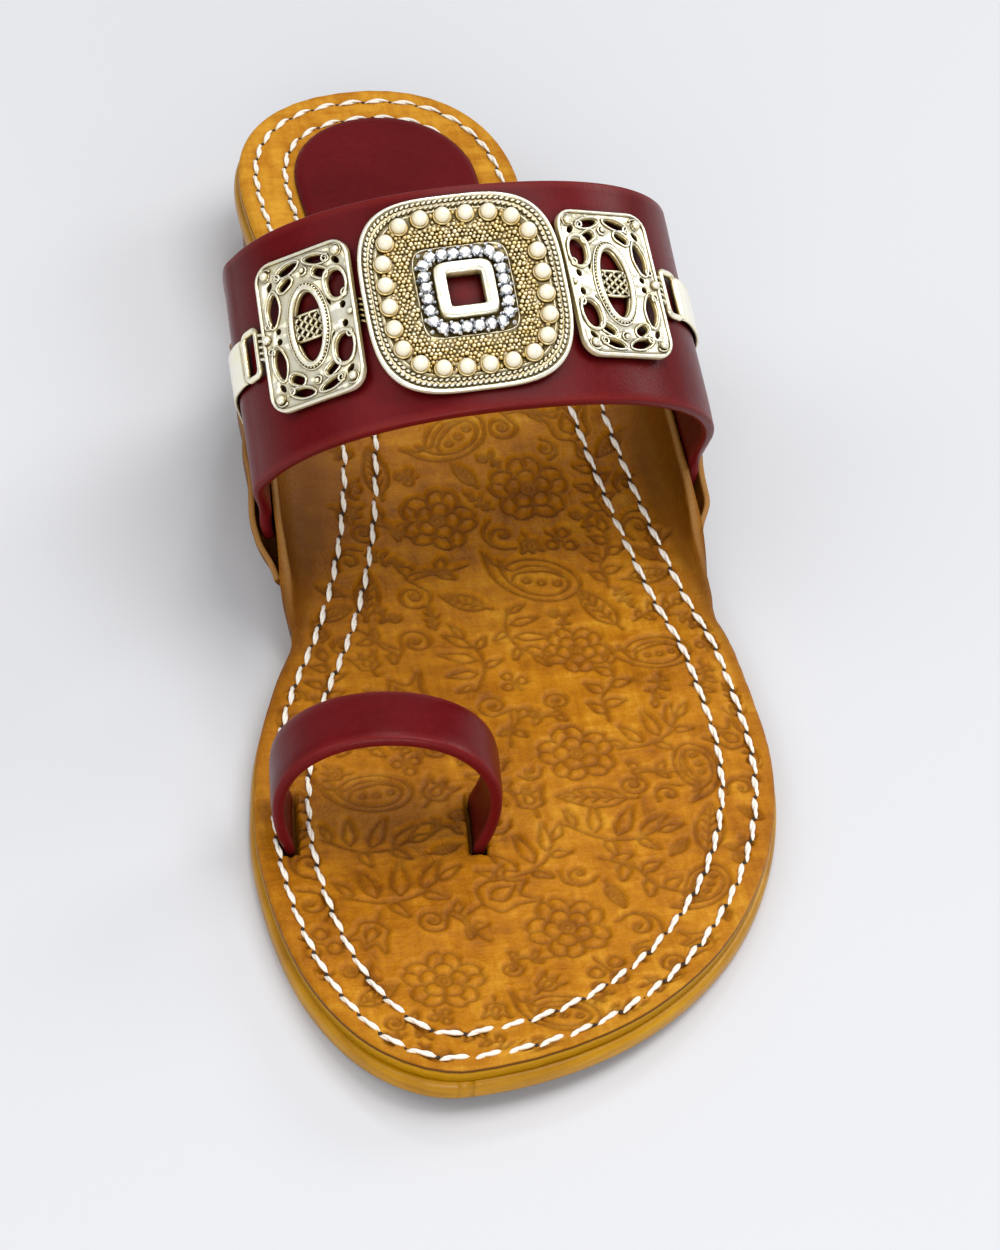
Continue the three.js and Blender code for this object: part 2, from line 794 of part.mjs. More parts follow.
// The side plate is pierced: a long oval with a bar across, D-shaped and round holes about it.
// Places and sizes are shares of the plate's half width and half length.
const plateHoles = [
  { x: 0.70, y: 0.47, rx: 0.20, ry: 0.20 },
  { x: 0.70, y: -0.47, rx: 0.20, ry: 0.20 },
  { x: -0.72, y: 0.40, rx: 0.14, ry: 0.18 },
  { x: -0.72, y: -0.40, rx: 0.14, ry: 0.18 },
  { x: 0.22, y: 0.86, rx: 0.24, ry: 0.07 },
  { x: -0.30, y: 0.84, rx: 0.22, ry: 0.08 },
  { x: 0.22, y: -0.86, rx: 0.24, ry: 0.07 },
  { x: -0.30, y: -0.84, rx: 0.22, ry: 0.08 },
  { x: 0.34, y: 0.62, rx: 0.13, ry: 0.08 },
  { x: 0.34, y: -0.62, rx: 0.13, ry: 0.08 },
  { x: -0.38, y: 0.62, rx: 0.13, ry: 0.08 },
  { x: -0.38, y: -0.62, rx: 0.13, ry: 0.08 },
];
function ovalPath(x, y, rx, ry, count) {
  const path = new THREE.Path();
  for (let i = 0; i < count; i += 1) {
    const angle = 2 * Math.PI * i / count;
    const px = x + rx * Math.cos(angle);
    const py = y + ry * Math.sin(angle);
    if (i === 0) path.moveTo(px, py);
    else path.lineTo(px, py);
  }
  path.closePath();
  return path;
}

function roundedRectangle(width, length, corner) {
  const shape = new THREE.Shape();
  const w = width / 2;
  const l = length / 2;
  const arcSteps = 4;
  const centres = [[w - corner, l - corner], [corner - w, l - corner], [corner - w, corner - l], [w - corner, corner - l]];
  centres.forEach(([cx, cy], k) => {
    for (let i = 0; i <= arcSteps; i += 1) {
      const angle = Math.PI / 2 * (k + i / arcSteps);
      const x = cx + corner * Math.cos(angle);
      const y = cy + corner * Math.sin(angle);
      if (k === 0 && i === 0) shape.moveTo(x, y);
      else shape.lineTo(x, y);
    }
  });
  shape.closePath();
  return shape;
}

// side is -1 for the plate towards the big toe, whose D-shaped holes face the medallion
function plateGeometry(side) {
  const outline = roundedRectangle(plateWidth, plateLength, plateCorner);
  for (const hole of plateHoles) {
    outline.holes.push(ovalPath(
      -side * hole.x * plateWidth / 2,
      hole.y * plateLength / 2,
      hole.rx * plateWidth / 2,
      hole.ry * plateLength / 2,
      10,
    ));
  }
  const oval = (rim) => ovalPath(0, 0, ovalWidth / 2 + rim, ovalLength / 2 + rim, 20);
  outline.holes.push(oval(0));
  const base = extruded(outline, plateThickness, seatGap);
  const rimShape = new THREE.Shape(oval(ovalRim).getPoints());
  rimShape.holes.push(oval(0));
  const rim = extruded(rimShape, ovalRimHeight - overlap, seatGap + overlap);
  const bar = new THREE.BoxGeometry(ovalWidth + ovalRim, ovalBarLength, ovalBarThickness);
  bar.translate(0, 0, seatGap + plateThickness / 2);
  return joined([base, rim, bar]);
}

// A few turns of wire that hinge one plate to the next, as one ribbed body with its axis along the shoe
function coilGeometry() {
  const radius = coilDiameter / 2;
  const points = [new THREE.Vector2(0, -coilLength / 2)];
  for (let i = 0; i <= coilTurns * 2; i += 1) {
    const y = -coilLength / 2 + coilLength * i / (coilTurns * 2);
    points.push(new THREE.Vector2(i % 2 === 1 ? radius : radius * 0.8, y));
  }
  points.push(new THREE.Vector2(0, coilLength / 2));
  return new THREE.LatheGeometry(points, 10);
}

// The rectangular ring between the outer coil and the tab
function ringGeometry() {
  const outline = roundedRectangle(ringLength, ringWidth, ringCorner);
  const hole = roundedRectangle(ringLength - 2 * ringWire, ringWidth - 2 * ringWire, ringCorner - ringWire + 0.2);
  outline.holes.push(new THREE.Path(hole.getPoints()));
  return extruded(outline, ringWire, seatGap);
}

const plateEdge = plateStep + plateWidth / 2;
const coilReach = plateEdge + seatGap + coilDiameter / 2;
const ringReach = coilReach + coilDiameter / 2 + seatGap + ringLength / 2;
const tabReach = ringReach + ringLength / 2 + seatGap;

// The flat tab follows the strap's face down to the ear's cut edge
function tabGeometry(side) {
  const steps = 12;
  const columns = 2;
  const startFrame = faceFrame(medallionAlongArch + side * tabReach, medallionAcross);
  const start = new THREE.Vector3().setFromMatrixPosition(startFrame);
  const curveAt = (across) => {
    const curve = strapCurve(across);
    const offset = axes.back.clone().multiplyScalar(across - medallionAcross);
    const from = nearestShare(curve, start.clone().add(offset));
    const end = tabEndFromLegEnd / curve.getLength();
    const to = side < 0 ? end : 1 - end;
    return { curve, from, to };
  };
  const inner = [];
  const outer = [];
  const lanes = Array.from({ length: columns + 1 }, (_, j) => curveAt(medallionAcross + tabWidth * (j / columns - 0.5)));
  for (let i = 0; i <= steps; i += 1) {
    const lift = (height) => lanes.map(({ curve, from, to }) => {
      const u = from + (to - from) * i / steps;
      const normal = new THREE.Vector3().crossVectors(curve.getTangentAt(u), axes.back).normalize();
      return curve.getPointAt(u).addScaledVector(normal, height);
    });
    inner.push(lift(seatGap));
    outer.push(lift(seatGap + tabThickness));
  }
  return bodyBetween(outer, inner);
}

// Materials
function leather(color, roughness) {
  return new THREE.MeshStandardMaterial({ color, roughness, metalness: 0 });
}
const tanLeather = leather(0xb8741c, 0.5);
const edgeLeather = leather(0xb98a10, 0.5);
const heelLeather = leather(0x8a5a20, 0.6);
const maroonLeather = leather(0x5c0e16, 0.4);
const paleGold = new THREE.MeshStandardMaterial({ color: 0xe8cf94, roughness: 0.3, metalness: 1 });

const sandal = new THREE.Group();

function add(name, geometry, material, parent = sandal) {
  const mesh = new THREE.Mesh(geometry, material);
  mesh.name = name;
  parent.add(mesh);
  return mesh;
}

add('outsole', outsoleGeometry(), edgeLeather);
add('heel', heelGeometry(), heelLeather);
add('footbed', cut(footbedGeometry(), [slotCutter(-1), slotCutter(1)]), tanLeather);
add('ear_wall_medial', wallGeometry(-1, medialWallEnds), tanLeather);
add('ear_wall_lateral', wallGeometry(1, lateralWallEnds), tanLeather);
add('instep_strap', strapGeometry(), maroonLeather);
add('toe_loop', loopGeometry(), maroonLeather);
add('heel_pad', padGeometry(), maroonLeather);

function onStrap(name, geometry, arc) {
  const holder = new THREE.Group();
  holder.applyMatrix4(faceFrame(arc, medallionAcross));
  sandal.add(holder);
  return add(name, geometry, paleGold, holder);
}

onStrap('medallion', medallionGeometry(), medallionAlongArch);
for (const [name, side] of [['medial', -1], ['lateral', 1]]) {
  onStrap(`side_plate_${name}`, plateGeometry(side), medallionAlongArch + side * plateStep);
  const coil = onStrap(`end_coil_${name}`, coilGeometry(), medallionAlongArch + side * coilReach);
  coil.position.z = seatGap + coilDiameter / 2;
  onStrap(`end_ring_${name}`, ringGeometry(), medallionAlongArch + side * ringReach);
  add(`end_tab_${name}`, tabGeometry(side), paleGold);
}

// The origin is the middle of the footprint, on the floor
sandal.updateMatrixWorld(true);
const bounds = new THREE.Box3().setFromObject(sandal);
const middle = bounds.getCenter(new THREE.Vector3());
sandal.position.set(-middle.x, -middle.y, -bounds.min.z);

export default sandal;
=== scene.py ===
# %% [markdown]
# # A tooled leather toe-loop sandal
# The real sandal is made of stacked leather: a sole, a low heel, and a tooled top layer whose sides
# turn up at the waist and hold a wide strap. A chain of cast metal plates lies across the strap.
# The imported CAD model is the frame. Each visible piece here is built again at a finer size, from the
# same rules, so that edges are rounded, the leather is tooled and the stitches lie where they should.

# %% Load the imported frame
import math

import bmesh
import bpy
import numpy as np
from mathutils import Matrix, Vector


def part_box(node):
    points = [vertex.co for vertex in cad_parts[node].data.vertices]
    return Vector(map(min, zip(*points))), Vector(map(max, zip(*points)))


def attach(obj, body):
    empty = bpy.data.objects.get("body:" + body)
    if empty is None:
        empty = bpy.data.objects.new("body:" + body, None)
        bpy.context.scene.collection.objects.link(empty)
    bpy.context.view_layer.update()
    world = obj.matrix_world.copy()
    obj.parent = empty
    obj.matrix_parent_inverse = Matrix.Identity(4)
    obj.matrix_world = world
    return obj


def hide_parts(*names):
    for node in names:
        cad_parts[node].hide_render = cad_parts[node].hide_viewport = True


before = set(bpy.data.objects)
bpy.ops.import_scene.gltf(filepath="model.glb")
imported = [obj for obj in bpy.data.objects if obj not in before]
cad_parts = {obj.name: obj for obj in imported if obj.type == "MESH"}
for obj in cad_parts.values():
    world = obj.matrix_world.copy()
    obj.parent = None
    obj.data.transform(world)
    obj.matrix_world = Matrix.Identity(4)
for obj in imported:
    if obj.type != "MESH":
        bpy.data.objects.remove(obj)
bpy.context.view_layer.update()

# %% [markdown]
# ## Sizes
# A maker works from a last and a few measures. The same measures shape the CAD part, in millimetres.
# In this script the sandal lies with its toe along -Y; `y` is 0 at the back of the heel.

# %% Sizes of the sole
sole_length = 256.0
ball_width, waist_width, heel_width = 93.2, 55.6, 56.7
heel_rise, toe_spring = 15.0, 3.0
outsole_thickness, footbed_thickness, seat_gap = 3.7, 2.7, 0.3
sole_stack = outsole_thickness + seat_gap + footbed_thickness
footbed_inset, heel_inset, heel_breast = 0.7, 1.2, 62.0
wing_flare, wing_rise, wing_thickness, wall_thickness = 15.5, 9.5, 1.4, 1.2
crease_inset = 3.0
strap_thickness, leg_clearance, pocket_clearance = 2.2, 0.35, 0.5

# %% [markdown]
# The sole's edge could be traced as a long list of points. A few places along the last are enough: each
# row gives a share of the length and how far out the edge lies there, as a share of the width of that
# region, so the outline follows when a width changes. The profile and the ears are written the same way.

# %% Tables of the sole and the ears
medial_edge = [(0.219, -0.494 * ball_width), (0.294, -0.470 * ball_width), (0.368, -0.410 * ball_width),
               (0.427, -0.340 * ball_width), (0.489, -0.470 * waist_width), (0.555, -0.400 * waist_width),
               (0.648, -0.352 * waist_width), (0.734, -0.410 * heel_width), (0.804, -0.468 * heel_width),
               (0.871, -0.487 * heel_width)]
lateral_edge = [(0.297, 0.506 * ball_width), (0.375, 0.500 * ball_width), (0.446, 0.466 * ball_width),
                (0.508, 0.733 * waist_width), (0.586, 0.680 * waist_width), (0.664, 0.643 * waist_width),
                (0.742, 0.582 * heel_width), (0.804, 0.533 * heel_width), (0.864, 0.513 * heel_width)]
toe_tip_x, heel_tip_x = -0.215 * ball_width, 0.055 * heel_width
end_powers = {-1: (2.1, 2.3), 1: (1.93, 2.25)}
profile = [(0.0, sole_stack + toe_spring), (0.045, sole_stack + 0.52 * toe_spring), (0.12, sole_stack),
           (0.41, sole_stack), (0.49, sole_stack + 0.14 * heel_rise), (0.59, sole_stack + 0.46 * heel_rise),
           (0.69, sole_stack + 0.80 * heel_rise), (0.77, sole_stack + 0.97 * heel_rise),
           (0.81, sole_stack + heel_rise), (1.0, sole_stack + heel_rise)]
# Ears: (place from the toe, flare, rise)
ears = {
    -1: [(0.405, 0, 0), (0.453, 0.25, 0.26), (0.504, 0.56, 0.92), (0.570, 0.75, 1), (0.633, 0.84, 0.80),
         (0.688, 0.66, 0.42), (0.738, 0.36, 0.13), (0.790, 0, 0)],
    1: [(0.410, 0, 0), (0.438, 0.12, 0.05), (0.473, 0.22, 0.30), (0.523, 0.30, 0.90), (0.590, 0.40, 1),
        (0.648, 0.41, 0.82), (0.707, 0.32, 0.46), (0.758, 0.14, 0.12), (0.797, 0, 0)],
}
offset = Vector((1000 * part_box("outsole")[0].x - medial_edge[0][1], sole_length / 2, 0))
print("Shoe to row frame, mm:", tuple(round(c, 3) for c in offset))

# %% [markdown]
# ## The rules that the shapes follow
# The sole edge is two smooth curves read from the short tables, closed by rounded ends. NumPy works on
# whole arrays of points at once, which keeps a fine mesh quick to make.

# %% Curves of the sole
def column(rows, at, key=1):
    """Smooth interpolation through a table, without overshoot."""
    xs = np.array([row[0] for row in rows], float)
    ys = np.array([row[key] for row in rows], float)
    steps = np.diff(xs)
    gradient = np.diff(ys) / steps
    slope = np.zeros(len(xs))
    product = gradient[:-1] * gradient[1:]
    total = np.where(product > 0, gradient[:-1] + gradient[1:], 1)
    slope[1:-1] = np.where(product > 0, 2 * product / total, 0)
    place = np.clip(np.asarray(at, float), xs[0], xs[-1])
    i = np.clip(np.searchsorted(xs, place, side="right") - 1, 0, len(steps) - 1)
    t = (place - xs[i]) / steps[i]
    h = t * t * (3 - 2 * t)
    return ys[i] * (1 - h) + ys[i + 1] * h + steps[i] * t * (1 - t) * ((1 - t) * slope[i] - t * slope[i + 1])


def smooth(t):
    t = np.clip(t, 0, 1)
    return t * t * (3 - 2 * t)


def arc_of(line):
    """Length along a line at each of its points."""
    return np.concatenate([[0], np.cumsum(np.linalg.norm(np.diff(line, axis=0), axis=1))])


def quarter(t, power):
    return (1 - np.clip(t, 0, 0.9996) ** power) ** (1 / power)


def sole_edge(side, at):
    rows = medial_edge if side < 0 else lateral_edge
    at = np.asarray(at, float)
    toe_power, heel_power = end_powers[side]
    (first_at, first_x), (end_at, end_x) = rows[0], rows[-1]
    toe = toe_tip_x + (first_x - toe_tip_x) * quarter((first_at - at) / first_at, toe_power)
    heel = heel_tip_x + (end_x - heel_tip_x) * quarter((at - end_at) / (1 - end_at), heel_power)
    return np.where(at < first_at, toe, np.where(at > end_at, heel, column(rows, at)))


def footbed_top(at):
    return column(profile, at)


def along(at):
    return (np.asarray(at, float) - 1) * sole_length

# %% [markdown]
# An ear is where the footbed turns up beside the foot, along a Bezier curve. A sculpted mesh would do for
# the looks, but strap and outer wall have to lie against it, so it is one function of the place along the
# shoe and the share of the way up.

# %% The ears
def ear_point(side, at, s):
    """Upper face of the footbed from the crease (s=0) to the cut edge (s=1), and its normal."""
    at, s = np.broadcast_arrays(np.asarray(at, float), np.asarray(s, float))
    flare = wing_flare * column(ears[side], at, 1)
    rise = wing_rise * column(ears[side], at, 2)
    width = sole_edge(1, at) - sole_edge(-1, at)
    inset = np.minimum(crease_inset, 0.45 * width)
    turn = smooth(rise / (0.6 * wing_rise))
    angle = turn * math.pi / 2
    span = inset - np.minimum(footbed_inset, 0.4 * inset) + flare - wing_thickness * np.sin(angle)
    handle = 0.3 * span * (1 - turn) + 0.7 * rise * turn
    p = [0 * span, 0.62 * span, span - handle * np.cos(angle), span]
    q = [0 * span, 0 * span, rise - handle * np.sin(angle), rise]
    r = 1 - s

    def bezier(c):
        return r**3 * c[0] + 3 * r * r * s * c[1] + 3 * r * s * s * c[2] + s**3 * c[3]

    def slope(c):
        return r * r * (c[1] - c[0]) + 2 * r * s * (c[2] - c[1]) + s * s * (c[3] - c[2])

    run, climb = slope(p), slope(q)
    length = np.maximum(np.hypot(run, climb), 1e-9)
    x = sole_edge(side, at) - side * inset + side * bezier(p)
    points = np.stack([x, along(at), footbed_top(at) + bezier(q)], -1)
    normals = np.stack([-side * climb / length, 0 * x, run / length], -1)
    return points, normals


def leather_depth(side, at, s):
    rise = column(ears[side], at, 2)
    return footbed_thickness + (wing_thickness - footbed_thickness) * smooth(s) * smooth(rise)


def below(side, at, s, depth):
    points, normals = ear_point(side, at, s)
    return points - normals * np.asarray(depth)[..., None]


# %% [markdown]
# ## Mesh helpers
# A piece can be modelled by hand or grown with modifiers. Here each piece is worked out as points, so
# that it fits its neighbours. `make_piece` turns points and faces into an object, merges points that fall
# together and makes all faces look outwards.

# %% Mesh helpers
def to_row(points):
    """Shoe millimetres to the row frame in metres."""
    return (np.asarray(points, float) + np.array(offset)) / 1000


def make_piece(name, points, faces, material, smooth_faces=True):
    mesh = bpy.data.meshes.new(name)
    mesh.from_pydata(to_row(points).tolist(), [], faces)
    mesh.validate()
    solid = bmesh.new()
    solid.from_mesh(mesh)
    bmesh.ops.remove_doubles(solid, verts=solid.verts, dist=1e-6)
    bmesh.ops.recalc_face_normals(solid, faces=solid.faces)
    solid.to_mesh(mesh)
    solid.free()
    mesh.polygons.foreach_set("use_smooth", [smooth_faces] * len(mesh.polygons))
    mesh.materials.append(material)
    piece = bpy.data.objects.new(name, mesh)
    bpy.context.scene.collection.objects.link(piece)
    return piece

# %% [markdown]
# A strip of leather is a grid of points, row by row. These helpers give its four-sided faces, and the
# faces that close a grid and a second one under it into a sheet with no open edge.

# %% Faces of a grid
def grid_faces(rows, columns, start=0, flip=False):
    i, j = np.meshgrid(np.arange(rows - 1), np.arange(columns - 1), indexing="ij")
    a = (start + i * columns + j).ravel()
    quads = np.stack([a, a + 1, a + columns + 1, a + columns], -1)
    return (quads[:, ::-1] if flip else quads).tolist()


def rim_faces(rows, columns):
    """Faces that close two stacked grids round their four sides."""
    low = rows * columns
    ring = [j for j in range(columns)]
    ring += [i * columns + columns - 1 for i in range(1, rows)]
    ring += [(rows - 1) * columns + j for j in range(columns - 2, -1, -1)]
    ring += [i * columns for i in range(rows - 2, 0, -1)]
    return [[a, b, low + b, low + a] for a, b in zip(ring, ring[1:] + ring[:1])]


def sheet_faces(rows, columns):
    """Faces of a closed sheet: a grid, a second grid under it, and the rim between them."""
    under = grid_faces(rows, columns, rows * columns, True)
    return grid_faces(rows, columns) + under + rim_faces(rows, columns)


def grid_normals(grid):
    lengthwise = np.gradient(grid, axis=0)
    widthwise = np.gradient(grid, axis=1)
    normal = np.cross(widthwise, lengthwise)
    return normal / np.maximum(np.linalg.norm(normal, axis=-1, keepdims=True), 1e-9)

# %% [markdown]
# Cut leather has a burnished, rounded edge. A Bevel modifier could round it, but only as well as the grid
# allows. `shell` instead lets the thickness follow a quarter circle near a cut edge, and `spaced` puts
# more grid lines there.

# %% Leather with soft edges
def round_share(distance, radius):
    """Share of the full thickness left at a distance from a rounded cut edge."""
    t = 1 - np.clip(distance / radius, 0, 1)
    return np.sqrt(np.maximum(1 - t * t, 0))


def spaced(length, radius, count, corner=5):
    bend = radius * (1 - np.cos(np.linspace(0, math.pi / 2, corner + 1)))
    middle = np.linspace(radius, length - radius, count)[1:-1]
    return np.concatenate([bend, middle, (length - bend)[::-1]])


def shell(name, outer, inwards, thickness, edge_share, material, **values):
    """A closed sheet between the outer face and the face a thickness further inwards."""
    middle = outer + inwards * thickness / 2
    half = inwards * (thickness / 2) * edge_share[..., None]
    rows, columns = outer.shape[:2]
    points = np.concatenate([(middle - half).reshape(-1, 3), (middle + half).reshape(-1, 3)])
    piece = make_piece(name, points, sheet_faces(rows, columns), material)
    for key, grid in values.items():
        spread(piece, key, points, np.concatenate([grid.ravel(), grid.ravel()]))
    return piece


# %% [markdown]
# ## Shader sums
# A finish is a small program. Written as sums, such as `0.3 + 0.2 * grain`, it reads like one. The class
# below wraps one socket: each sum adds its Math node.

# %% Shader sums
class Value:
    """A number that varies over the surface, ready to be used in sums."""

    def __init__(self, finish, socket):
        self.finish, self.socket = finish, socket

    def math(self, kind, *others, clamp=False):
        values = [self, *others]
        node = self.finish.node("Math", {"operation": kind, "use_clamp": clamp}, dict(enumerate(values)))
        return Value(self.finish, node.outputs[0])

    def _first(self, kind, other):
        node = self.finish.node("Math", {"operation": kind}, {0: other, 1: self})
        return Value(self.finish, node.outputs[0])

    def __add__(self, other):
        return self.math("ADD", other)

    def __radd__(self, other):
        return self._first("ADD", other)

    def __sub__(self, other):
        return self.math("SUBTRACT", other)

    def __rsub__(self, other):
        return self._first("SUBTRACT", other)

    def __mul__(self, other):
        return self.math("MULTIPLY", other)

    def __rmul__(self, other):
        return self._first("MULTIPLY", other)

    def __pow__(self, other):
        return self.math("POWER", other)

    def clamped(self):
        return self.math("ADD", 0, clamp=True)

# %% [markdown]
# A finish starts from Blender's Principled shader. The class gives it short words for the nodes that
# leather and metal need: noise for dye, cells for pores, crevices for painted shade and patina, ramps and
# mixes for colour, and bump for grain. All patterns read Object coordinates, so they stay on the piece.

# %% A finish
class Finish:
    """One material: a Principled shader, and the nodes that vary it."""

    def __init__(self, name, color, roughness, **fixed):
        self.material = bpy.data.materials.new(name)
        self.material.use_nodes = True
        self.tree = self.material.node_tree
        self.shader = self.tree.nodes["Principled BSDF"]
        self.shader.inputs["Base Color"].default_value = (*color, 1)
        self.shader.inputs["Roughness"].default_value = roughness
        for socket, value in fixed.items():
            self.shader.inputs[socket.replace("_", " ")].default_value = value

    def node(self, kind, settings=None, values=None):
        node = self.tree.nodes.new("ShaderNode" + kind)
        for key, value in (settings or {}).items():
            if key == "stops":
                ramp = node.color_ramp.elements
                while len(ramp) < len(value):
                    ramp.new(1)
                for stop, (place, color) in zip(ramp, value):
                    stop.position, stop.color = place, (*color, 1)
            else:
                setattr(node, key, value)
        for key, value in (values or {}).items():
            self.put(node.inputs[key], value)
        return node

    def put(self, socket, value):
        if isinstance(value, Value):
            self.tree.links.new(value.socket, socket)
        elif isinstance(value, bpy.types.NodeSocket):
            self.tree.links.new(value, socket)
        else:
            socket.default_value = value

    def place(self):
        return self.node("TexCoord").outputs["Object"]

    def noise(self, scale, detail=3, rough=0.5, stretch=None):
        place = self.place()
        if stretch:
            place = self.node("Mapping", None, {"Vector": place, "Scale": stretch}).outputs[0]
        inputs = {"Vector": place, "Scale": scale, "Detail": detail, "Roughness": rough}
        return Value(self, self.node("TexNoise", None, inputs).outputs[0])

    def cells(self, scale):
        node = self.node("TexVoronoi", None, {"Vector": self.place(), "Scale": scale})
        return Value(self, node.outputs["Distance"])

    def attribute(self, name):
        return Value(self, self.node("Attribute", {"attribute_name": name}).outputs["Fac"])

    # Ambient occlusion, read to paint shade into crevices
    def crevice(self, distance):
        node = self.node("AmbientOcclusion", {"samples": 8}, {"Distance": distance})
        return Value(self, node.outputs["AO"])

    def ramp(self, value, stops):
        return self.node("ValToRGB", {"stops": stops}, {0: value}).outputs[0]

    def mix(self, share, first, second):
        node = self.node("Mix", {"data_type": "RGBA", "clamp_factor": True})
        self.put(node.inputs[0], share)
        for index, value in ((6, first), (7, second)):
            self.put(node.inputs[index], (*value, 1) if isinstance(value, tuple) else value)
        return node.outputs[2]

    def color(self, value):
        self.put(self.shader.inputs["Base Color"], value)

    def rough(self, value):
        self.put(self.shader.inputs["Roughness"], value)

    def bump(self, height, strength, distance):
        node = self.node("Bump", None, {"Height": height, "Strength": strength, "Distance": distance})
        self.put(self.shader.inputs["Normal"], node.outputs[0])


# %% [markdown]
# ## Finishes
# Vegetable-tanned leather is warm and uneven: dye sits darker in each tooled line, and wax gives a soft
# gloss. The finish also darkens the waist sides and the ears, and paints shade under the strap, under the
# toe loop, in the slots and in a thin line along the footbed's side. A picture of leather could be wrapped
# round the piece, but it would not know where the lines are. Here the mesh carries attributes that say so,
# and the finish reads them.

# %% Tooled tan leather
def leather_grain(finish, scale=2600, strength=0.25, depth=0.00012, creases=0.5):
    pores = finish.cells(scale)
    folds = finish.noise(420, 5, 0.6)
    finish.bump(pores * 0.6 + folds * creases, strength, depth)


def tan_leather():
    finish = Finish("tooled_tan_leather", (0.4, 0.15, 0.02), 0.42, Specular_IOR_Level=0.12)
    cloud = finish.noise(26, 4, 0.55)
    mottle = finish.noise(150, 6, 0.7)
    streak = finish.noise(330, 5, 0.7, (0.16, 1.0, 1.0))
    fibre = finish.noise(420, 4, 0.7, (1.0, 0.1, 1.0))
    press = finish.attribute("press")
    burnish = finish.attribute("burnish")
    edge = finish.attribute("edge")
    pale = finish.attribute("pale")
    tone = (cloud * 0.50 + mottle * 0.60 + streak * 0.42 + fibre * 0.40 - 0.46 + pale * 0.15).clamped()
    body = finish.ramp(tone, [(0.26, (0.195, 0.058, 0.001)), (0.42, (0.35, 0.117, 0.0016)),
                              (0.56, (0.46, 0.170, 0.0035)), (0.78, (0.67, 0.32, 0.022))])
    # Darker along the waist and the ears, with painted shade under the strap and the toe loop
    dark = finish.mix((burnish * (0.55 + mottle * 0.5)).clamped(), body, (0.125, 0.038, 0.0015))
    # Tooled lines are darker, and the slots are painted dark as the shade inside them
    lined = finish.mix((press * 0.52).clamped(), dark, (0.10, 0.028, 0.001))
    waxed = finish.attribute("waxed")
    # A painted shade line along the footbed's side, between the tan top and the mustard below
    joint_shade_line = finish.mix(((waxed - 0.10) * 9).clamped(), lined, (0.10, 0.035, 0.003))
    side = finish.mix(((waxed - 0.30) * 7).clamped(), joint_shade_line, (0.47, 0.225, 0.002))
    finish.color(finish.mix((edge * 0.8).clamped(), side, (0.36, 0.18, 0.05)))
    finish.rough((0.28 + mottle * 0.28 + press * 0.1).clamped())
    leather_grain(finish, 1700, 0.55, 0.00026, 1.0)
    return finish.material

# %% [markdown]
# The edge of the outsole is dyed mustard and waxed. The heel is a stack of brown layers: a sine of the
# height draws the joints between them, which is simpler than modelling each layer.

# %% Edges and heel
def edge_leather():
    finish = Finish("mustard_edge", (0.42, 0.24, 0.02), 0.34, Specular_IOR_Level=0.3)
    layer = finish.noise(900, 3, 0.5, (0.05, 0.05, 1.0))
    mottle = finish.noise(120, 4, 0.6)
    under = finish.attribute("under")
    body = finish.ramp((layer * 0.6 + mottle * 0.5 - 0.05).clamped(),
                       [(0.25, (0.28, 0.115, 0.001)), (0.55, (0.46, 0.215, 0.001)),
                        (0.8, (0.62, 0.33, 0.008))])
    finish.color(finish.mix(under, body, (0.13, 0.055, 0.014)))
    leather_grain(finish, 1500, 0.3, 0.0002)
    return finish.material


def heel_leather():
    finish = Finish("stacked_heel_leather", (0.2, 0.08, 0.02), 0.45, Specular_IOR_Level=0.3)
    height = Value(finish, finish.node("SeparateXYZ", None, {0: finish.place()}).outputs[2])
    mottle = finish.noise(220, 4, 0.6)
    layer = (height * 1690 + mottle * 0.5).math("SINE") * 0.5 + 0.5
    body = finish.ramp(mottle, [(0.3, (0.16, 0.062, 0.012)), (0.7, (0.30, 0.135, 0.025))])
    finish.color(finish.mix((layer ** 6) * 0.75, body, (0.05, 0.018, 0.006)))
    finish.bump(layer ** 6 * -1 + mottle * 0.4, 0.5, 0.00025)
    return finish.material

# %% [markdown]
# The strap leather is dyed through and polished, so it is even in colour and finer in grain. A painted
# highlight on its cut edges and painted shade where it meets its neighbours keep the thin bands readable.

# %% Maroon leather
def maroon_leather():
    finish = Finish("maroon_leather", (0.1, 0.006, 0.012), 0.34, Specular_IOR_Level=0.1)
    cloud = finish.noise(34, 4, 0.55)
    grain = finish.noise(700, 4, 0.6)
    edge = finish.attribute("edge")
    body = finish.ramp((cloud * 0.75 + grain * 0.25).clamped(),
                       [(0.3, (0.078, 0.0012, 0.0024)), (0.55, (0.118, 0.0028, 0.0045)),
                        (0.75, (0.16, 0.007, 0.009))])
    # Painted highlight along the cut edges
    bright = finish.mix((edge * 0.18).clamped(), body, (0.34, 0.05, 0.04))
    # Painted shade, near black, where the leather meets the metal and its other neighbours
    contact_shade = finish.crevice(0.0035)
    finish.color(finish.mix((contact_shade * 1.5 - 0.25).clamped(), (0.012, 0.0008, 0.0012), bright))
    finish.rough((0.22 + grain * 0.2).clamped())
    leather_grain(finish, 2400, 0.25, 0.00012, 0.8)
    return finish.material

# %% [markdown]
# The thread is cream and slightly furry, with painted shade between its two plies. Each needle hole is a
# dark disc of painted shade.

# %% Thread and needle holes
def thread_finish():
    finish = Finish("cream_thread", (0.86, 0.80, 0.68), 0.6, Specular_IOR_Level=0.3)
    fibre = finish.noise(2600, 3, 0.6)
    # Painted shade between the plies
    gap = finish.crevice(0.0005)
    thread = finish.ramp(fibre, [(0.3, (0.86, 0.80, 0.68)), (0.7, (1.0, 0.97, 0.90))])
    finish.color(finish.mix((gap ** 1.2).clamped(), (0.55, 0.38, 0.18), thread))
    finish.bump(fibre, 0.4, 0.0001)
    return finish.material
